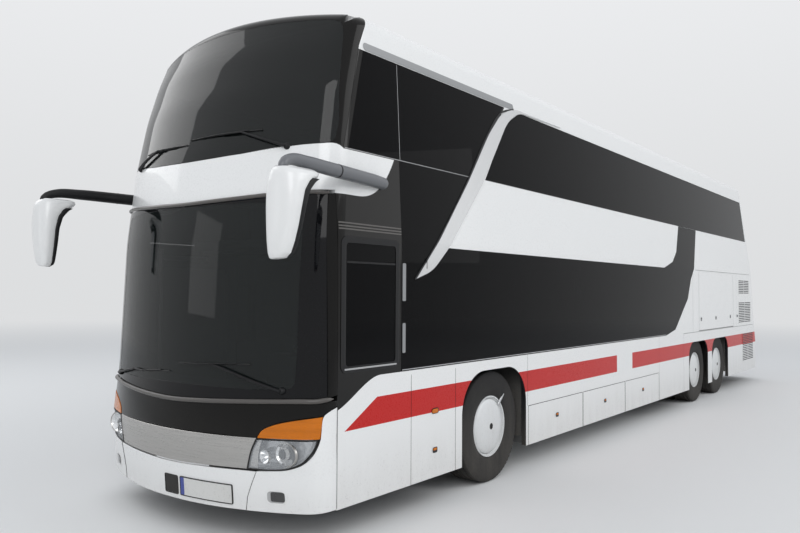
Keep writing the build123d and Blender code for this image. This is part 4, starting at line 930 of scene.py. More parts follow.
# Lower screen: its glass, the black border round it and the dark pillars that lead to the sides.
def lowerScreen():
    half, low, high = nose["glassHalf"]
    inner = [signedW(edge) for edge in roundedEdges(half, low, high - 0.01, 0.06)]
    pillarLine = toW(nose["pillar"])
    barTop = toW(nose["barTop"][:5])
    barTop[:, 1] += 0.003
    gutter = toW(nose["gutterLow"][:6])
    gutter[:, 1] -= 0.003
    right = np.concatenate([barTop[-1:], pillarLine, gutter[-1:]])
    right[0, 0] = right[1, 0] + 0.001
    right[-1, 0] = right[-2, 0] - 0.001
    top = mirrored(gutter)[::-1].copy()
    top[0], top[-1] = right[-1], right[-1] * sideways
    bottom = mirrored(barTop).copy()
    bottom[-1], bottom[0] = right[0], right[0] * sideways
    noseRing("lower_screen_border", inner, [right, top, right[::-1] * sideways, bottom], smoothPath,
        (50, 60, 50, 60), np.linspace(0, 1, 8), "blackBorder", 0.006, bevel=0.0015)
    w, v = coons(smoothPath(inner[3], 56), smoothPath(inner[0], 40), smoothPath(inner[1][::-1], 56),
        smoothPath(inner[2][::-1], 40))
    makeMesh("lower_screen_glass", [shell(w, v, 0.006, -0.001)], "windscreenGlass")
    a = np.concatenate([[[right[0, 0] + 0.004, right[0, 1]]], pillarLine + [[0.004, 0]],
        [[right[-1, 0] + 0.005, right[-1, 1]]]])
    b = np.array([(seamW(z, 0.003), z) for z in np.linspace(1.059, 2.497, 8)])
    w, v = between(smoothPath(a, 40), smoothPath(b, 40), np.linspace(0, 1, 14))
    for side, name in ((1, "left"), (-1, "right")):
        makeMesh(f"{name}_screen_pillar", [shell(w * side, v, 0.012)], "darkGloss", bevel=0.002)


# Upper screen: the glass, and its dark surround that runs on over the roof edge to the roof. The surround
# lies between the glass's edge and an outer line along the joints with the band, the sides and the roof.
def upperScreen():
    right, topHalf, bottomHalf = [signedW(nose[line]) for line in ("upperSide", "upperTop", "upperLow")]
    top, bottom = mirrored(topHalf)[::-1], mirrored(bottomHalf)
    edge = smoothPath(right, 44)
    w, v = coons(smoothPath(bottom, 72), edge, smoothPath(top[::-1], 72), edge * sideways)
    makeMesh("upper_screen_glass", [shell(w, v, 0.006, -0.001)], "upperScreenGlass")
    roofEnd = coach["roundTop"][2] + 1
    seamStart = float(roofStart(seamW(3.82)))
    climb = [(seamW(z, 0.003), z) for z in np.linspace(2.846, seamStart, 12)]
    climb += [(climb[-1][0], seamStart + q) for q in (0.03, 0.07, 0.12, 0.17, 0.4, 0.8, roofEnd)]
    across = np.linspace(climb[-1][0], -climb[-1][0], 60)
    outerTop = np.stack([across, roofStart(across) + roofEnd], -1)
    low = mirrored(toW(nose["bandTop"][:5] + [(0.583, 2.844, "s")])) + [[0, 0.003]]
    low[-1], low[0] = climb[0], (-climb[0][0], climb[0][1])
    climb = np.array(climb)
    noseRing("upper_screen_surround", [right, top, right[::-1] * sideways, bottom],
        [climb, outerTop, climb[::-1] * sideways, low], evenOnSkin, (44, 90, 44, 90), nose["surround"],
        "darkGloss", 0.01)


bumperAndPanel()
lamps()
lampInsides()
frontFittings()
lowerScreen()
noseBand("mask_band", nose["bandLow"], nose["bandTop"], 120, 24, "nosePaint", thick=0.012, bevel=0.002)
upperScreen()
apron = noseRail("apron_bar", nose["apronLine"], 0.0175, 0.015, 0.008, "barTrim")
noseRail("gutter_strip", nose["gutterLine"], 0.0145, 0.013, 0.006, "barTrim")
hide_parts("front_trims")
print("stage: nose")


# round things
# Surface of revolution about the hub line: (distance out from the middle, radius) points carried
# round a circle. The profile is a closed line.
def turned(profile, centre, count, side=1):
    p = np.asarray(profile, float)
    a = np.linspace(0, 2 * np.pi, count, endpoint=False)[:, None]
    x = np.broadcast_to(side * p[None, :, 0], (count, len(p)))
    y, z = centre[0] + p[None, :, 1] * np.cos(a), centre[1] + p[None, :, 1] * np.sin(a)
    return np.stack([x, y, z], -1).reshape(-1, 3), gridFaces(count, len(p), 0, True, True)


wheels = {
    "hub": 0.522,
    "axles": {"front": -4.055, "drive": 2.645, "tag": 3.995},
    "half": 0.145,
    "centre": 1.077,
    "twin": 0.335,
    "ribs": [-0.085, -0.030, 0.030, 0.085],   # road grooves across the tread
    "sideWall": [(0.113, 0.2865), (0.124, 0.292), (0.134, 0.312), (0.141, 0.345), (0.1445, 0.385),
        (0.1448, 0.420), (0.1425, 0.448), (0.1425, 0.452), (0.1385, 0.478), (0.132, 0.496), (0.127, 0.5100),
        (0.118, 0.5185)],
    "blocks": (72, 0.030, 0.505, 0.5135),   # shoulder blocks: how many, half their angle, and two radii
    "barrel": (0.286, 0.277),
    "disc": (1.09, 1.112, 0.0456, 0.27),
    "ring": [(1.160, 0.287), (1.176, 0.287), (1.183, 0.283), (1.185, 0.275), (1.184, 0.266),
        (1.178, 0.2625)],
    "cover": [(1.166, 0.2615), (1.166, 0.2585), (1.182, 0.2570), (1.187, 0.2540), (1.194, 0.2450),
        (1.202, 0.2250), (1.209, 0.1950), (1.2145, 0.1550), (1.2185, 0.1050), (1.2205, 0.0600),
        (1.2212, 0.0300)],
    "hole": [(1.2205, 0.031), (1.2222, 0.028), (1.2222, 0.0245), (1.2140, 0.0235), (1.2140, 0.031)],
    "plug": [(1.2100, 0.0005), (1.2100, 0.0240), (1.2165, 0.0225), (1.2175, 0.0120), (1.2175, 0.0005)],
    "valve": (0.86, 0.235, 0.405),   # its angle from the rear, and its two ends along the radius
}


# Half-section of a tyre: bead, bulged side wall with a rib, shoulder, and a tread with grooves.
def tyreProfile(centre):
    r = wheels["hub"] - 0.0005
    outer = wheels["sideWall"]
    groove = ((0.006, 0), (0.004, -0.011), (-0.004, -0.011), (-0.006, 0))
    tread = [(rib + dx, r - 0.0035 * (rib / 0.12) ** 2 + dr) for rib in wheels["ribs"][::-1]
        for dx, dr in groove]
    inner = [(-x, q) for x, q in outer[::-1]]
    under = [(-0.105, 0.2865), (0.105, 0.2865)]
    return [(centre + x, q) for x, q in outer + tread + inner + under]


# Low blocks round both shoulders of a tyre: small boxes on the ring, set out as one array.
def treadCuts(centre, y, side):
    count, wide, r0, shoulder = wheels["blocks"]
    r1 = wheels["hub"] - 0.0005
    box = np.array([[0, 1, 3, 2], [4, 6, 7, 5], [0, 2, 6, 4], [1, 5, 7, 3], [2, 3, 7, 6], [0, 4, 5, 1]])
    faces = (box[None] + (np.arange(count) * 8)[:, None, None]).reshape(-1, 4).tolist()
    parts = []
    for sign in (1, -1):
        x = np.array([0.098, 0.128]) * sign + centre
        ring = np.array([(x[i], r, d) for i in (0, 1) for r in (r0, r1) for d in (-wide, wide)])
        ring[(ring[:, 1] == r1) & (np.abs(ring[:, 0] - centre) > 0.12), 1] = shoulder
        angle = ((np.arange(count) + 0.5) * 2 * np.pi / count)[:, None] + ring[None, :, 2]
        parts.append((np.stack([np.broadcast_to(side * ring[None, :, 0], angle.shape),
            y + ring[None, :, 1] * np.cos(angle), wheels["hub"] + ring[None, :, 1] * np.sin(angle)], -1),
            faces))
    return join(parts)


# Valve extension over the cover's ring: an ellipse carried outward along the radius at the valve's angle.
def valveStem(y, side):
    turn, start, end = wheels["valve"]
    ray = np.array([0, math.cos(turn), math.sin(turn)])
    middle = np.array([0, y, wheels["hub"]])
    places = ((1.203, start), (1.207, start + 0.02), (1.2085, 0.30), (1.2140, 0.36), (1.2150, end - 0.005),
        (1.2150, end))
    path = np.array([(side * x, 0, 0) + middle + ray * r for x, r in places])
    return sweep(path, [0.006, 0.014, 0.015, 0.014, 0.0135, 0.008],
        [0.004, 0.007, 0.0075, 0.0066, 0.0062, 0.003], 12, (1, 0, 0))


# One wheel: tyre with its blocks, rim barrel and disc under a domed cover, and the ring of the centre hole.
# The drive wheels are twins, their second tyre and rim further in.
def makeWheel(sideName, side, name, y):
    body = f"{sideName}_{name}_wheel"
    centres = [wheels["centre"] - k * wheels["twin"] for k in range(2 if name == "drive" else 1)]

    def spin(profile, count):
        return turned(profile, (y, wheels["hub"]), count, side)

    def hoop(x0, x1, r0, r1, count):
        return spin([(x0, r0), (x1, r0), (x1, r1), (x0, r1)], count)

    tyres = [spin(tyreProfile(c), 96) for c in centres] + [treadCuts(c, y, side) for c in centres]
    tyre = makeMesh(f"{sideName}_{name}_tyre_tread", tyres, "tyreRubber", body=body, angle=28)
    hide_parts(f"{sideName}_{name}_tyre")
    cover = wheels["ring"] + wheels["cover"]
    back = [(x - 0.006, q - 0.003) for x, q in cover[::-1]]
    half = wheels["half"] - 0.032
    x0, x1, bore, edge = wheels["disc"]
    parts = [spin(cover + [(1.2155, 0.024), (1.210, 0.024)] + back[1:], 96),
        hoop(centres[0] - half, centres[0] + half + 0.012, *wheels["barrel"], 64),
        hoop(x0, x1, bore, edge, 48)]
    for c in centres[1:]:
        parts.append(hoop(c - half, c + half, *wheels["barrel"], 64))
        parts.append(hoop(c + half - 0.02, c + half - 0.004, bore, wheels["barrel"][1], 48))
    rim = makeMesh(f"{sideName}_{name}_cover", parts, "wheelCover", body=body, angle=30)
    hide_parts(f"{sideName}_{name}_rim")
    if name == "front":
        makeMesh(f"{sideName}_{name}_valve", [valveStem(y, side)], "aluminium", body=body, angle=40)
    makeMesh(f"{sideName}_{name}_hole", [spin(wheels["hole"], 40), spin(wheels["plug"], 32)],
        "blackPlastic", body=body, angle=40)


for sideName, side in (("left", 1), ("right", -1)):
    for name, y in wheels["axles"].items():
        makeWheel(sideName, side, name, y)
print("stage: wheels")


# mirrors: housing rows as height, half-width, front and rear distance behind the nose; then the
# arm's path points and how thick it is along them
mirror = {
    "x": 1.472,
    "power": 2.7,
    "rows": [(1.992, 0.020, -0.262, -0.205), (2.000, 0.055, -0.275, -0.185), (2.030, 0.078, -0.285, -0.172),
        (2.100, 0.097, -0.292, -0.164), (2.200, 0.114, -0.296, -0.154), (2.320, 0.129, -0.298, -0.145),
        (2.420, 0.131, -0.298, -0.115), (2.480, 0.131, -0.296, -0.060), (2.520, 0.129, -0.292, 0.010),
        (2.545, 0.120, -0.285, 0.030), (2.565, 0.095, -0.270, 0.020), (2.575, 0.050, -0.250, -0.020)],
    "rearShare": 0.66,
    "rearTop": 2.500,
    "face": (2.045, 2.440, 0.80),
    "arm": [(1.266, 1.045, 2.622), (1.285, 0.930, 2.626), (1.322, 0.640, 2.630), (1.362, 0.330, 2.634),
        (1.402, 0.060, 2.636), (1.440, -0.130, 2.630), (1.462, -0.215, 2.600), (1.472, -0.255, 2.545)],
    "thick": [0.046, 0.050, 0.050, 0.049, 0.048, 0.046, 0.040, 0.028],
}


# Half-width, front and rear of the housing at a height, from its rows.
def mirrorAt(z):
    rows = np.array(mirror["rows"])
    return [np.interp(z, rows[:, 0], rows[:, k]) for k in (1, 2, 3)]


# Closed form of superellipses stacked in z: half-width by half-depth about their middles.
def stacked(side, z, half, front, back, power, around=44):
    a = np.linspace(0, 2 * np.pi, around, endpoint=False)
    px = np.sign(np.cos(a)) * np.abs(np.cos(a)) ** (2 / power)
    py = np.sign(np.sin(a)) * np.abs(np.sin(a)) ** (2 / power)
    x = side * (mirror["x"] + 0.55 * (half - half.max())[:, None] + half[:, None] * px[None])
    y = coach["noseY"] + ((front + back) / 2)[:, None] + ((back - front) / 2)[:, None] * py[None]
    verts = np.stack([x, y, np.broadcast_to(z[:, None], x.shape)], -1).reshape(-1, 3)
    return verts, tubeFaces(len(z), around)


# Arm radius along its path: as listed, rounded off at both ends by a quarter circle.
def armRadius(t):
    thick = np.interp(t, np.linspace(0, 1, len(mirror["thick"])), mirror["thick"])
    near = np.clip(1 - t / 0.035, 0, 1)
    far = np.clip((t - 0.965) / 0.035, 0, 1)
    return thick * np.sqrt(np.maximum(1 - near ** 2, 0.01)) * np.sqrt(np.maximum(1 - far ** 2, 0.01))


# Shells of the mirrors, their backs and glasses, all slices of one stacked form, and the arms that carry
# them, with a dark joint round each arm.
def makeMirrors():
    shells, backs, arms, faces, grooves = [], [], [], [], []
    rows = np.array(mirror["rows"])
    fine = np.interp(np.linspace(0, len(rows) - 1, 45), np.arange(len(rows)), rows[:, 0])
    rear = np.linspace(1.991, mirror["rearTop"], 30)
    low, high, wide = mirror["face"]
    glass = np.linspace(low, high, 12)
    t = np.concatenate([np.linspace(0, 0.035, 8)[:-1], np.linspace(0.035, 0.965, 44),
        np.linspace(0.965, 1, 8)[1:]])
    for side in (1, -1):
        shells.append(stacked(side, fine, *mirrorAt(fine), mirror["power"]))
        half, front, back = mirrorAt(rear)
        start = front + (back - front) * mirror["rearShare"]
        backs.append(stacked(side, rear, half + 0.0012, start, back + 0.0012, 4.5))
        half, front, back = mirrorAt(glass)
        faces.append(stacked(side, glass, half * wide, back - 0.012, back + 0.0022, 5))
        whole = smoothPath([(side * x, coach["noseY"] + s, z) for x, s, z in mirror["arm"]], 200)
        path = np.stack([np.interp(t, np.linspace(0, 1, 200), whole[:, k]) for k in range(3)], -1)
        arms.append(sweep(path, armRadius(t), armRadius(t), 24))
        grooves.append(sweep(whole[96:99], 0.0498, 0.0498, 24))
    housings = makeMesh("mirror_shells", shells, "mirrorShell", angle=50)
    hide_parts("mirrors")
    makeMesh("mirror_backs", backs, "blackPlastic", angle=50)
    makeMesh("mirror_faces", faces, "mirrorFace", angle=40)
    # the near arm is painted a lighter grey as if lit, the far one black: lit and shaded copies of one part
    makeMesh("mirror_arm_left", arms[:1], "mirrorArmLit", angle=50)
    makeMesh("mirror_arm_right", arms[1:], "blackPlastic", angle=50)
    makeMesh("mirror_arm_joints", grooves, "blackPlastic", angle=50)


makeMirrors()
print("stage: mirrors")

# the nose's own CAD nodes are stood for by the pieces above
for piece, stands in (("mask_band", ("front_mask",)), ("bumper_middle", ("front_bumper",)),
        ("silver_panel", ("front_panel",)), ("headlamp_lenses", ("headlamps",)),
        ("indicator_lenses", ("indicator_lamps",)), ("lower_screen_glass", ("windscreens",))):
    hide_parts(*stands)


# Path over the skin between places on the nose, lifted off it by the given amounts.
def overNose(points, side, lifts, count):
    p = straightPath(points, count)
    lift = np.interp(np.linspace(0, 1, count), np.linspace(0, 1, len(lifts)), lifts)
    w = wFront(p[:, 0], p[:, 1]) * side
    on, above = skin(w, p[:, 1], 0), skin(w, p[:, 1], 0.1)
    return on + (above - on) * lift[:, None] * 10


# Places on the sides, as distances behind the nose and heights
trim = {
    "window": (0.565, 1.195, 1.230, 2.170, 0.040),
    "gutterRows": (2.247, 2.268, 2.291),
    "strips": [(1.262, 1.306, 1.720, 2.020), (1.264, 1.304, 1.310, 1.545)],
    "cove": (0.845, 3.205, 3.637, 3.697),
    "swooshFront": [(1.428, 1.893), (1.780, 2.246), (2.270, 2.796), (2.670, 3.296), (2.940, 3.556),
        (3.215, 3.650)],
    "swooshCut": 1.600,
    "latches": [9.605, 10.525, 11.535],
    "lock": (12.025, 1.360),
    "markers": [4.060, 5.410, 6.755],
    "repeater": (1.725, 0.800),
    "louvres": [(12.150, 13.035, 1.775, 2.075), (12.150, 13.175, 1.205, 1.655),
        (12.450, 13.375, 0.445, 1.015)],
    "doors": {"front": (0.650, 1.700), "middle": (7.560, 8.600)},
    "seams": [((1.385, 0.275), (1.385, 1.125)), ((2.035, 0.275), (2.035, 1.125)),
        ((3.375, 0.650), (3.375, 1.156)), ((7.439, 0.275), (7.439, 1.156)),
        ((8.609, 0.275), (8.609, 1.156)), ((8.612, 1.157), (13.380, 1.157)),
        ((9.264, 2.179), (13.120, 2.179)), ((9.123, 1.164), (9.123, 2.172)),
        ((12.003, 1.164), (12.003, 2.172))],
    # spans of the painted shadow lines just above the locker flaps
    "lockerTopShadows": [(3.385, 4.735), (4.745, 6.075), (6.085, 7.425)],
    "bumperSeam": [(0.739, 0.240), (0.752, 0.333), (0.791, 0.433), (0.8305, 0.521)],
    "skid": [(1.000, 13.150, 0.290), (1.030, 13.450, 0.268), (1.045, 13.650, 0.240),
        (1.045, 13.760, 0.232)],
    "paleSeams": [([(1.262, 2.842), (1.262, 3.620)], 0.0022, 20),
        ([(0.600, 2.843), (2.290, 2.843)], 0.0025, 40)],
    "longSeam": {1: (1.262, 7.745), -1: (1.735, 7.520)},   # from and to on each side
}


# Frames, seams, strips, painted shadow lines and shades of the sides, each a patch, strip or frame of the
# skin.
def sideTrims():
    *window, r = trim["window"]
    bar = (window[0] + 0.030, window[1] - 0.030, 2.000, 2.014)
    frames = [frameRing(grown(window, -0.022, r - 0.01), grown(window, 0.028, r + 0.02, 0.026), 0.006,
        0.004), patch(*bar, 0.004, 0.004, 0.003)]
    lines = [strip([(0.515, z), (1.245, z)], 0.0055, 0.005, 0.004, 1, 30) for z in trim["gutterRows"]]
    sill = (window[0] + 0.015, window[1] - 0.005, window[2] - 0.004, window[2] + 0.008)
    pale = [patch(*sill, 0.004, 0.004, 0.0065)]
    shadows = []
    for side in (1, -1):
        for line, half, count in trim["paleSeams"]:
            pale.append(strip(line, half, 0.002, 0.0012, side, count))
        pale.append(strip([(s, 1.176) for s in trim["longSeam"][side]], 0.0035, 0.002, 0.0014, side, 80))
        shadows.append(strip(trim["swooshFront"], 0.008, 0.006, 0.0045, side, 80, smooth=True))
        if side > 0:
            shadows.append(strip([(trim["swooshCut"], z) for z in (1.985, 2.068)], 0.003, 0.003, 0.0135,
                side, 6))
    coves = bothSides(lambda side: patch(*trim["cove"], 0.029, 0.006, 0.003, side, across=60))
    greys = [patch(*box, 0.008, 0.004, 0.0025) for box in trim["strips"]]
    # rubber round the passenger doors of the far side
    doors = []
    for front, back in trim["doors"].values():
        inner = (front - 0.004, back + 0.004, 0.296, 2.244, 0.012)
        outer = (front - 0.016, back + 0.016, 0.290, 2.256, 0.02)
        doors.append(frameRing(inner, outer, 0.004, 0.0025, -1))
    makeMesh("window_frame", frames, "blackPlastic", bevel=0.0015)
    makeMesh("door_gutter", lines, "barTrim")
    makeMesh("pale_seams", pale, "seamGrey")
    makeMesh("swoosh_shadow", shadows, "blackPlastic")
    makeMesh("cove_slots", coves, "coveGrey", bevel=0.0015)
    makeMesh("window_strips", greys, "coveGrey", bevel=0.0012)
    makeMesh("door_rubbers", doors, "blackPlastic")
    seams = []
    for side in (1, -1):
        for line in trim["seams"][0 if side > 0 else 1:]:
            seams.append(strip(line, 0.0027, 0.002, -0.0008, side, 60))
        # dark strips on the wall just above the locker flaps' top edges: painted shadow lines of those seams
        for front, back in trim["lockerTopShadows"]:
            seams.append(strip([(front + 0.004, 0.6436), (back - 0.004, 0.6436)], 0.0028, 0.003, 0.0005,
                side, 40))
        joint = [(float(jointS(z)), z) for z in np.linspace(0.262, 1.050, 20)]
        seams.append(strip(joint, 0.0026, 0.003, 0.0004, side, 60, smooth=True))
        seams.append(sweep(overNose(trim["bumperSeam"], side, [0.0004], 30), 0.0024, 0.0014, 8))
    makeMesh("panel_seams_and_shadows", seams, "blackPlastic")
    wide = np.linspace(0.075, 0.060, 24)
    tall = np.concatenate([np.linspace(0.030, 0.026, 20), [0.024, 0.020, 0.014, 0.008]])
    skids = [smoothPath([(side * x, coach["noseY"] + s, z) for x, s, z in trim["skid"]], 24)
        for side in (1, -1)]
    makeMesh("tail_skids", [sweep(path, wide, tall, 16) for path in skids], "blackPlastic", angle=50)
    shades = [patch(*box, 0.012, 0.003, 0.0015, side) for side in (1, -1) for box in trim["louvres"]]
    makeMesh("louvre_shades", shades, "louvreShade")


# Small lamps, latches and locks; those on a flap ride on that flap.
def sideFittings():
    def spot(s, half, low, high):
        return s - half, s + half, low, high

    for side, name in ((1, "left"), (-1, "right")):
        for number, s in enumerate(trim["markers"], start=1):
            body = f"{name}_locker_flap_{number}"
            makeMesh(f"{name}_marker_base_{number}",
                [patch(*spot(s, 0.034, 0.448, 0.494), 0.014, 0.006, 0.004, side)], "blackPlastic",
                body=body, bevel=0.0015)
            makeMesh(f"{name}_marker_lens_{number}",
                [patch(*spot(s, 0.027, 0.470, 0.489), 0.009, 0.006, 0.0075, side)], "amberLens", body=body,
                bevel=0.0015)
        latches, recesses = [], []
        for s in trim["latches"]:
            latches.append(frameRing((*spot(s, 0.030, 1.336, 1.384), 0.012),
                (*spot(s, 0.037, 1.329, 1.391), 0.018), 0.003, 0.002, side))
            latches.append(patch(*spot(s, 0.022, 1.346, 1.360), 0.005, 0.004, 0.0035, side))
            recesses.append(patch(*spot(s, 0.031, 1.335, 1.385), 0.012, 0.003, 0.0012, side))
        makeMesh(f"{name}_flap_latches", latches, "coveGrey", body=f"{name}_luggage_flap", bevel=0.001)
        makeMesh(f"{name}_latch_recesses", recesses, "blackPlastic", body=f"{name}_luggage_flap")
    s, z = trim["lock"]
    profile = [(-0.002, 0), (-0.002, 0.026), (0.003, 0.026), (0.005, 0.022), (0.005, 0.010), (0.003, 0.008),
        (0.003, 0)]
    makeMesh("side_locks", bothSides(lambda side: stud(side * float(wSide(s, z)), z, profile, 28)),
        "coveGrey")
    lamps, bases = [], []
    for side in (1, -1):
        s, z = trim["repeater"]
        s += 0.18 if side < 0 else 0     # further back beside the door
        bases.append(patch(*spot(s, 0.052, z - 0.024, z + 0.024), 0.022, 0.005, 0.003, side))
        lamps.append(patch(*spot(s, 0.044, z - 0.017, z + 0.017), 0.016, 0.008, 0.009, side))
        bases.append(patch(*spot(s, 0.034, 0.452, 0.498), 0.014, 0.005, 0.004, side))
        lamps.append(patch(*spot(s, 0.027, 0.474, 0.493), 0.009, 0.006, 0.0075, side))
    makeMesh("repeater_bases", bases, "blackPlastic", bevel=0.001)
    makeMesh("repeater_lenses", lamps, "amberLens", bevel=0.0015)


# Pivot, joint and blade of each wiper in X and Z on the nose, for the driver's side and the far side
wiperSet = {
    "rows": [
        (1, (0.993, 1.090), (0.520, 1.235), (0.060, 1.248), (0.745, 1.266)),
        (-1, (0.993, 1.090), (0.578, 1.158), (0.790, 1.130), (0.040, 1.178)),
        (1, (0.905, 2.850), (0.520, 2.985), (-0.030, 2.980), (0.690, 2.990)),
        (-1, (0.905, 2.850), (0.500, 2.955), (0.760, 2.955), (0.068, 2.945)),
    ],
    "lift": 0.016,
}


# Arms, blades and pivots: sweeps over the nose between the given places, lifted off it in the middle.
def makeWipers():
    arms, blades, pivots = [], [], []
    lift = wiperSet["lift"]
    knob = [(-0.004, 0), (-0.004, 0.026), (0.012, 0.024), (0.022, 0.018), (0.026, 0.010), (0.027, 0)]
    for side, pivot, joint, start, end in wiperSet["rows"]:
        path = overNose([pivot, joint], side, [0.020, 0.026, lift + 0.004], 18)
        arms.append(sweep(path, np.linspace(0.016, 0.012, 18), np.linspace(0.011, 0.008, 18), 12))
        middle = ((start[0] + end[0]) / 2, (start[1] + end[1]) / 2)
        arms.append(sweep(overNose([joint, middle], side, [lift + 0.004, lift], 8), 0.010, 0.007, 10))
        blades.append(sweep(overNose([start, end], side, [0.005], 40), 0.006, 0.005, 8))
        ends = [(start[0] * 0.85 + end[0] * 0.15, start[1] + 0.002),
            (start[0] * 0.15 + end[0] * 0.85, end[1] + 0.002)]
        arms.append(sweep(overNose(ends, side, [0.009, lift - 0.002, lift, lift - 0.002, 0.009], 30), 0.007,
            0.004, 8))
        pivots.append(stud(side * float(wFront(*pivot)), pivot[1], knob, 24))
    wipers = makeMesh("wiper_arms", arms + pivots, "blackPlastic", angle=50)
    makeMesh("wiper_blades", blades, "wiperRubber", angle=50)
    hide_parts("wipers")


sideTrims()
sideFittings()
makeWipers()
print("stage: trims and wipers")


# Places on the tail, as X and height
tail = {
    "window": (-0.960, 0.960, 2.950, 3.560, 0.080),
    "plate": (-0.260, 0.260, 0.430, 0.540),
    "brakeBar": (-0.380, 0.380, 3.620, 3.642),
    "cluster": (1.001, 1.169),
    "clusterIn": (0.832, 1.628),
    "clusterOut": (0.812, 1.648),
    "amber": (1.380, 1.540),
    "clear": (1.130, 1.210),
    "round": [0.920, 1.290],
    "reflector": (0.760, 0.900, 0.420, 0.455),
    "handle": (-0.070, 0.070, 1.800, 1.840),
    "lidShade": (0.125, 0.785, 0.974, 1.376),
}


# Fittings of the tail: window border, plate, high brake lamp, reflectors, and the parts of the lamps.
def tailFittings():
    *window, r = tail["window"]
    a0, a1 = tail["cluster"]

    def onTail(box, thick, off, side=1, across=12):
        return patch(*box, thick, off, side, True, 1, across)

    def ringOnTail(inner, outer, thick, off, side=1):
        return frameRing(inner, outer, thick, off, side, True, 1)

    makeMesh("rear_window_border", [ringOnTail(grown(window, -0.045, r - 0.02), grown(window, -0.001, r),
        0.003, 0.0015)], "blackBorder")
    makeMesh("rear_plate", [onTail(grown(tail["plate"], 0, 0.008), 0.006, 0.005, 1, 20)], "plateBlank")
    makeMesh("rear_plate_frame", [ringOnTail(grown(tail["plate"], -0.004, 0.006),
        grown(tail["plate"], 0.008, 0.014), 0.008, 0.0075)], "blackPlastic", bevel=0.001)
    makeMesh("high_brake_lamp", [onTail(grown(tail["brakeBar"], 0, 0.009), 0.006, 0.006, 1, 20)], "redLens",
        bevel=0.002)
    disc = [(-0.002, 0), (-0.002, 0.052), (0.006, 0.052), (0.010, 0.044), (0.011, 0.020), (0.012, 0)]
    ambers, clears, reds, frames = [], [], [], []
    for side in (1, -1):
        frames.append(ringOnTail((a0 + 0.008, a1 - 0.008, *tail["clusterIn"], 0.030),
            (a0 - 0.010, a1 + 0.010, *tail["clusterOut"], 0.046), 0.005, 0.004, side))
        ambers.append(onTail((a0 + 0.012, a1 - 0.012, *tail["amber"], 0.020), 0.006, 0.005, side))
        clears.append(onTail((a0 + 0.012, a1 - 0.012, *tail["clear"], 0.020), 0.006, 0.005, side))
        for z in tail["round"]:
            reds.append(stud(side * float(wFront((a0 + a1) / 2, z, 1)), z, disc, 32, 1))
        reds.append(onTail(grown(tail["reflector"], 0, 0.012), 0.005, 0.005, side))
    makeMesh("tail_lamp_frames", frames, "blackPlastic", bevel=0.001)
    makeMesh("tail_ambers", ambers, "amberLens", bevel=0.002)
    makeMesh("tail_clears", clears, "fogLens", bevel=0.002)
    makeMesh("tail_reds", reds, "redLens", angle=50)
    handle = tail["handle"]
    makeMesh("engine_lid_handle", [ringOnTail(grown(handle, 0, 0.012), grown(handle, 0.020, 0.022, 0.015),
        0.006, 0.005), onTail(grown(handle, 0.001, 0.012), 0.003, 0.001)], "blackPlastic",
        body="engine_lid", bevel=0.0015)
    shades = bothSides(lambda side: onTail(grown(tail["lidShade"], 0, 0.02), 0.003, -0.0115, side, 20))
    makeMesh("engine_lid_shades", shades, "blackPlastic", body="engine_lid")


tailFittings()
print("stage: tail")


# Places of the seats: distance behind the nose of the front edge, height of the floor, and X ranges
seating = {
    "pitch": 0.830,
    "floors": {"lower": 0.6607, "upper": 2.2707, "driver": 0.6207},
    "cushion": (0.215, 0.225, 0.068),
    "back": (0.215, 0.062, 0.340),
    "head": (0.150, 0.050, 0.085),
    "rake": 0.215,
}


# Middles of the seats: two share each bench, in rows at one pitch on both decks, and the driver has one.
# The upper deck leaves out the benches over the stairs.
def seatPlaces():
    places = []
    for row in range(4):
        places.append((3.500 + row * seating["pitch"], "lower", (-1.160, -0.380)))
        places.append((5.150 + row * seating["pitch"], "lower", (0.380, 1.160)))
    for row in range(13):
        s = 1.500 + row * seating["pitch"]
        for side in (1, -1):
            if not (side > 0 and s + 0.6 > 3.700 and s - 0.1 < 4.980):
                places.append((s, "upper", tuple(sorted((side * 0.260, side * 1.060)))))
    seats = []
    for s, deck, (x0, x1) in places:
        for share in (0.26, 0.74):
            seats.append((x0 + (x1 - x0) * share, s, seating["floors"][deck]))
    seats.append((0.720, 1.420, seating["floors"]["driver"]))
    return np.array(seats)


# Padded form: a superquadric box, drawn in at its seams and along two sewn channels, then turned back
# by the rake and set at each place. Latitude and longitude powers below one square it off.
def padding(sizes, places, offset, rake, channels, around=26, rows=15, power=0.42):
    a = np.linspace(0, 2 * np.pi, around, endpoint=False)[None, :]
    b = np.linspace(-np.pi / 2, np.pi / 2, rows)[:, None]
    cut = lambda v: np.sign(v) * np.abs(v) ** power
    x = cut(np.cos(b)) * cut(np.cos(a))
    y = cut(np.cos(b)) * cut(np.sin(a))
    z = cut(np.sin(b)) * np.ones_like(a)
    pinch = 1 - 0.05 * np.exp(-(z / 0.18) ** 2)
    for place in channels:
        pinch = pinch * (1 - 0.10 * np.exp(-((x - place) / 0.07) ** 2) * (np.abs(y) > 0.4))
    x, y, z = sizes[0] * x * (1 - 0.03 * (1 - y ** 2)), sizes[1] * y * pinch, sizes[2] * z
    turnedY = y * math.cos(rake) + z * math.sin(rake)
    turnedZ = z * math.cos(rake) - y * math.sin(rake)
    form = np.stack([x, turnedY, turnedZ], -1).reshape(-1, 3)
    base = places.copy()
    base[:, 1] += coach["noseY"]
    verts = (base + np.asarray(offset))[:, None] + form[None]
    one = np.array(gridFaces(rows, around, 0, False, True))
    faces = (one[None] + (np.arange(len(places)) * len(form))[:, None, None]).reshape(-1, 4)
    return verts.reshape(-1, 3), faces.tolist()


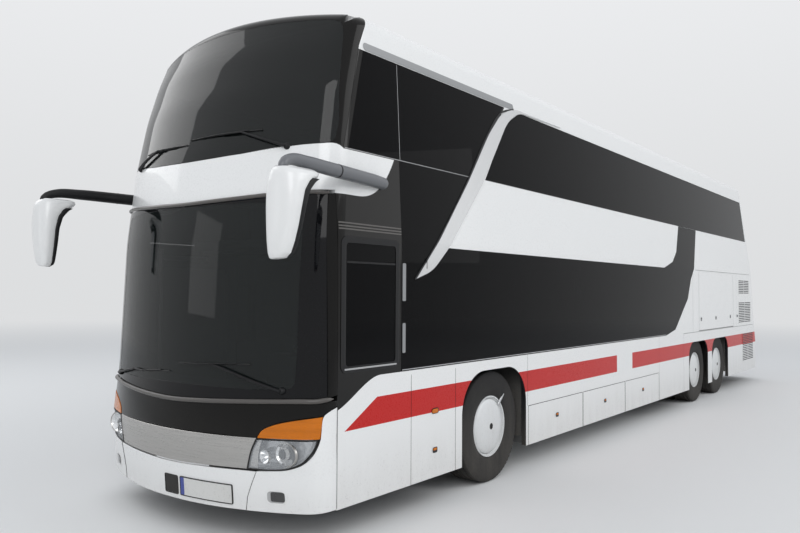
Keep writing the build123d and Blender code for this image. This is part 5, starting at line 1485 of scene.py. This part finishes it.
# Cushions, backs and head rests as padded forms, and moulded shells, legs and trays behind and under them.
def makeSeats():
    places = seatPlaces()
    c, b, h = seating["cushion"], seating["back"], seating["head"]
    pads = padding((c[0], c[2], c[1]), places, (0, 0.150, 0.455), math.pi / 2 - 0.06, (-0.55, 0.55))
    rests = [padding(b, places, (0, 0.430, 0.790), seating["rake"], (-0.5, 0.5)),
             padding(h, places, (0, 0.510, 1.085), seating["rake"], (), 20, 11, 0.6)]
    cushions = makeMesh("seat_cushions", [pads], "seatCloth", angle=80)
    backs = makeMesh("seat_backs", rests, "seatCloth", angle=80)
    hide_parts("seats")
    shells = padding((b[0] + 0.008, 0.020, b[2] + 0.01), places, (0, 0.486, 0.775), seating["rake"], (), 24,
        13, 0.35)
    legs = padding((0.045, 0.150, 0.190), places, (0, 0.190, 0.192), 0.0, (), 16, 9, 0.3)
    trays = padding((0.200, 0.205, 0.028), places, (0, 0.150, 0.385), 0.0, (), 24, 9, 0.3)
    makeMesh("seat_shells", [shells, legs, trays], "dashPlastic", angle=60)


makeSeats()
print("stage: seats")


# floor, light and camera
studio = {
    "camera": (4.8296, -10.2357, 1.7941),
    "yaw": 37.30, "pitch": 1.94, "roll": 0.32,
    "focal": 743.2,
    "world": 0.72,
    # place, aim, size and power of each softbox
    "softboxes": [((9, -16, 9), (0, -3, 1.8), 9, 680), ((14, 2, 11), (0, 0, 1.5), 10, 620),
                  ((-12, -8, 10), (0, -3, 2), 9, 340), ((-17, -27, 6), (0, -6, 2.6), 7, 110),
                  ((24, 25, 8), (0, 0, 2), 9, 110)],
    "floor": (0.80, 0.80, 0.79),
    "haze": (0.76, 0.77, 0.78),
    "hazeStrength": 0.95,
    "hazeFrom": (9.0, 42.0),    # the floor fades into the haze between these distances from the middle
    "zenith": (0.92, 0.93, 0.95),
    "soft": (0.86, 0.90, 0.96),
}


# Smooth step of a value between two places.
def smoothStep(tree, value, low, high):
    return put(tree, "ShaderNodeMapRange", {"interpolation_type": "SMOOTHSTEP"}, i0=value, i1=low,
        i2=high).outputs[0]


# Mix of two shaders, the second one as far as the share given and seen straight, mirrored or through glass.
def mixWhereSeen(tree, share, first, second):
    path = put(tree, "ShaderNodeLightPath")
    seen = calc(tree, "MAXIMUM", path.outputs["Is Glossy Ray"], path.outputs["Is Transmission Ray"])
    seen = calc(tree, "MAXIMUM", path.outputs["Is Camera Ray"], seen)
    mix = tree.nodes.new("ShaderNodeMixShader")
    tree.links.new(calc(tree, "MULTIPLY", seen, share), mix.inputs[0])
    tree.links.new(first.outputs[0], mix.inputs[1])
    tree.links.new(second.outputs[0], mix.inputs[2])
    return mix.outputs[0]


# World that lights softly and is seen as a pale haze, brighter upward.
def makeWorld():
    world = bpy.data.worlds.new("studio")
    bpy.context.scene.world = world
    world.use_nodes = True
    tree = world.node_tree
    tree.nodes.clear()
    place = put(tree, "ShaderNodeTexCoord").outputs["Generated"]
    up = put(tree, "ShaderNodeSeparateXYZ", i0=place).outputs[2]
    sky = blendColour(tree, smoothStep(tree, up, -0.05, 0.6), studio["haze"] + (1,),
        studio["zenith"] + (1,))
    soft = put(tree, "ShaderNodeBackground", Color=studio["soft"] + (1,), Strength=studio["world"])
    shown = put(tree, "ShaderNodeBackground", Color=sky, Strength=studio["hazeStrength"])
    out = tree.nodes.new("ShaderNodeOutputWorld")
    tree.links.new(mixWhereSeen(tree, 1.0, soft, shown), out.inputs["Surface"])


# Matt floor that turns into the backdrop's colour far from the coach.
def makeFloor():
    material = bpy.data.materials.new("studioFloor")
    material.use_nodes = True
    tree = material.node_tree
    shader = tree.nodes["Principled BSDF"]
    shader.inputs["Base Color"].default_value = studio["floor"] + (1,)
    shader.inputs["Roughness"].default_value = 0.9
    place = put(tree, "ShaderNodeTexCoord").outputs["Object"]
    far = put(tree, "ShaderNodeVectorMath", {"operation": "LENGTH"}, i0=place).outputs["Value"]
    far = smoothStep(tree, far, *studio["hazeFrom"])
    haze = put(tree, "ShaderNodeEmission", Color=studio["haze"] + (1,), Strength=studio["hazeStrength"])
    tree.links.new(mixWhereSeen(tree, far, shader, haze), tree.nodes["Material Output"].inputs["Surface"])
    mesh = bpy.data.meshes.new("studio_floor")
    mesh.from_pydata([(-60, -60, -0.001), (60, -60, -0.001), (60, 60, -0.001), (-60, 60, -0.001)], [],
        [(0, 1, 2, 3)])
    mesh.materials.append(material)
    floor = bpy.data.objects.new("studio_floor", mesh)
    bpy.context.scene.collection.objects.link(floor)


# Softboxes, each turned to its aim, and the photo's camera: its axis from yaw and pitch, then its roll.
def makeStudio():
    scene = bpy.context.scene
    scene.view_settings.view_transform = "Standard"
    makeWorld()
    for number, (spot, aim, size, power) in enumerate(studio["softboxes"]):
        light = bpy.data.lights.new(f"softbox{number}", "AREA")
        light.size = size
        light.energy = power
        obj = bpy.data.objects.new(light.name, light)
        scene.collection.objects.link(obj)
        obj.location = spot
        obj.rotation_euler = (Vector(aim) - Vector(spot)).to_track_quat("-Z", "Y").to_euler()
    makeFloor()
    cam = bpy.data.cameras.new("camera")
    camera = bpy.data.objects.new("camera", cam)
    scene.collection.objects.link(camera)
    yaw, pitch, roll = (math.radians(studio[k]) for k in ("yaw", "pitch", "roll"))
    axis = Vector((-math.sin(yaw) * math.cos(pitch), math.cos(yaw) * math.cos(pitch), math.sin(pitch)))
    camera.location = studio["camera"]
    camera.rotation_euler = (axis.to_track_quat("-Z", "Y").to_matrix() @ Matrix.Rotation(roll, 3,
        "Z")).to_euler()
    cam.sensor_fit = "HORIZONTAL"
    cam.sensor_width = 36
    cam.lens = studio["focal"] * 36 / 800    # the photo is 800 pixels wide
    cam.clip_end = 300
    scene.camera = camera


makeStudio()
print("stage: studio")
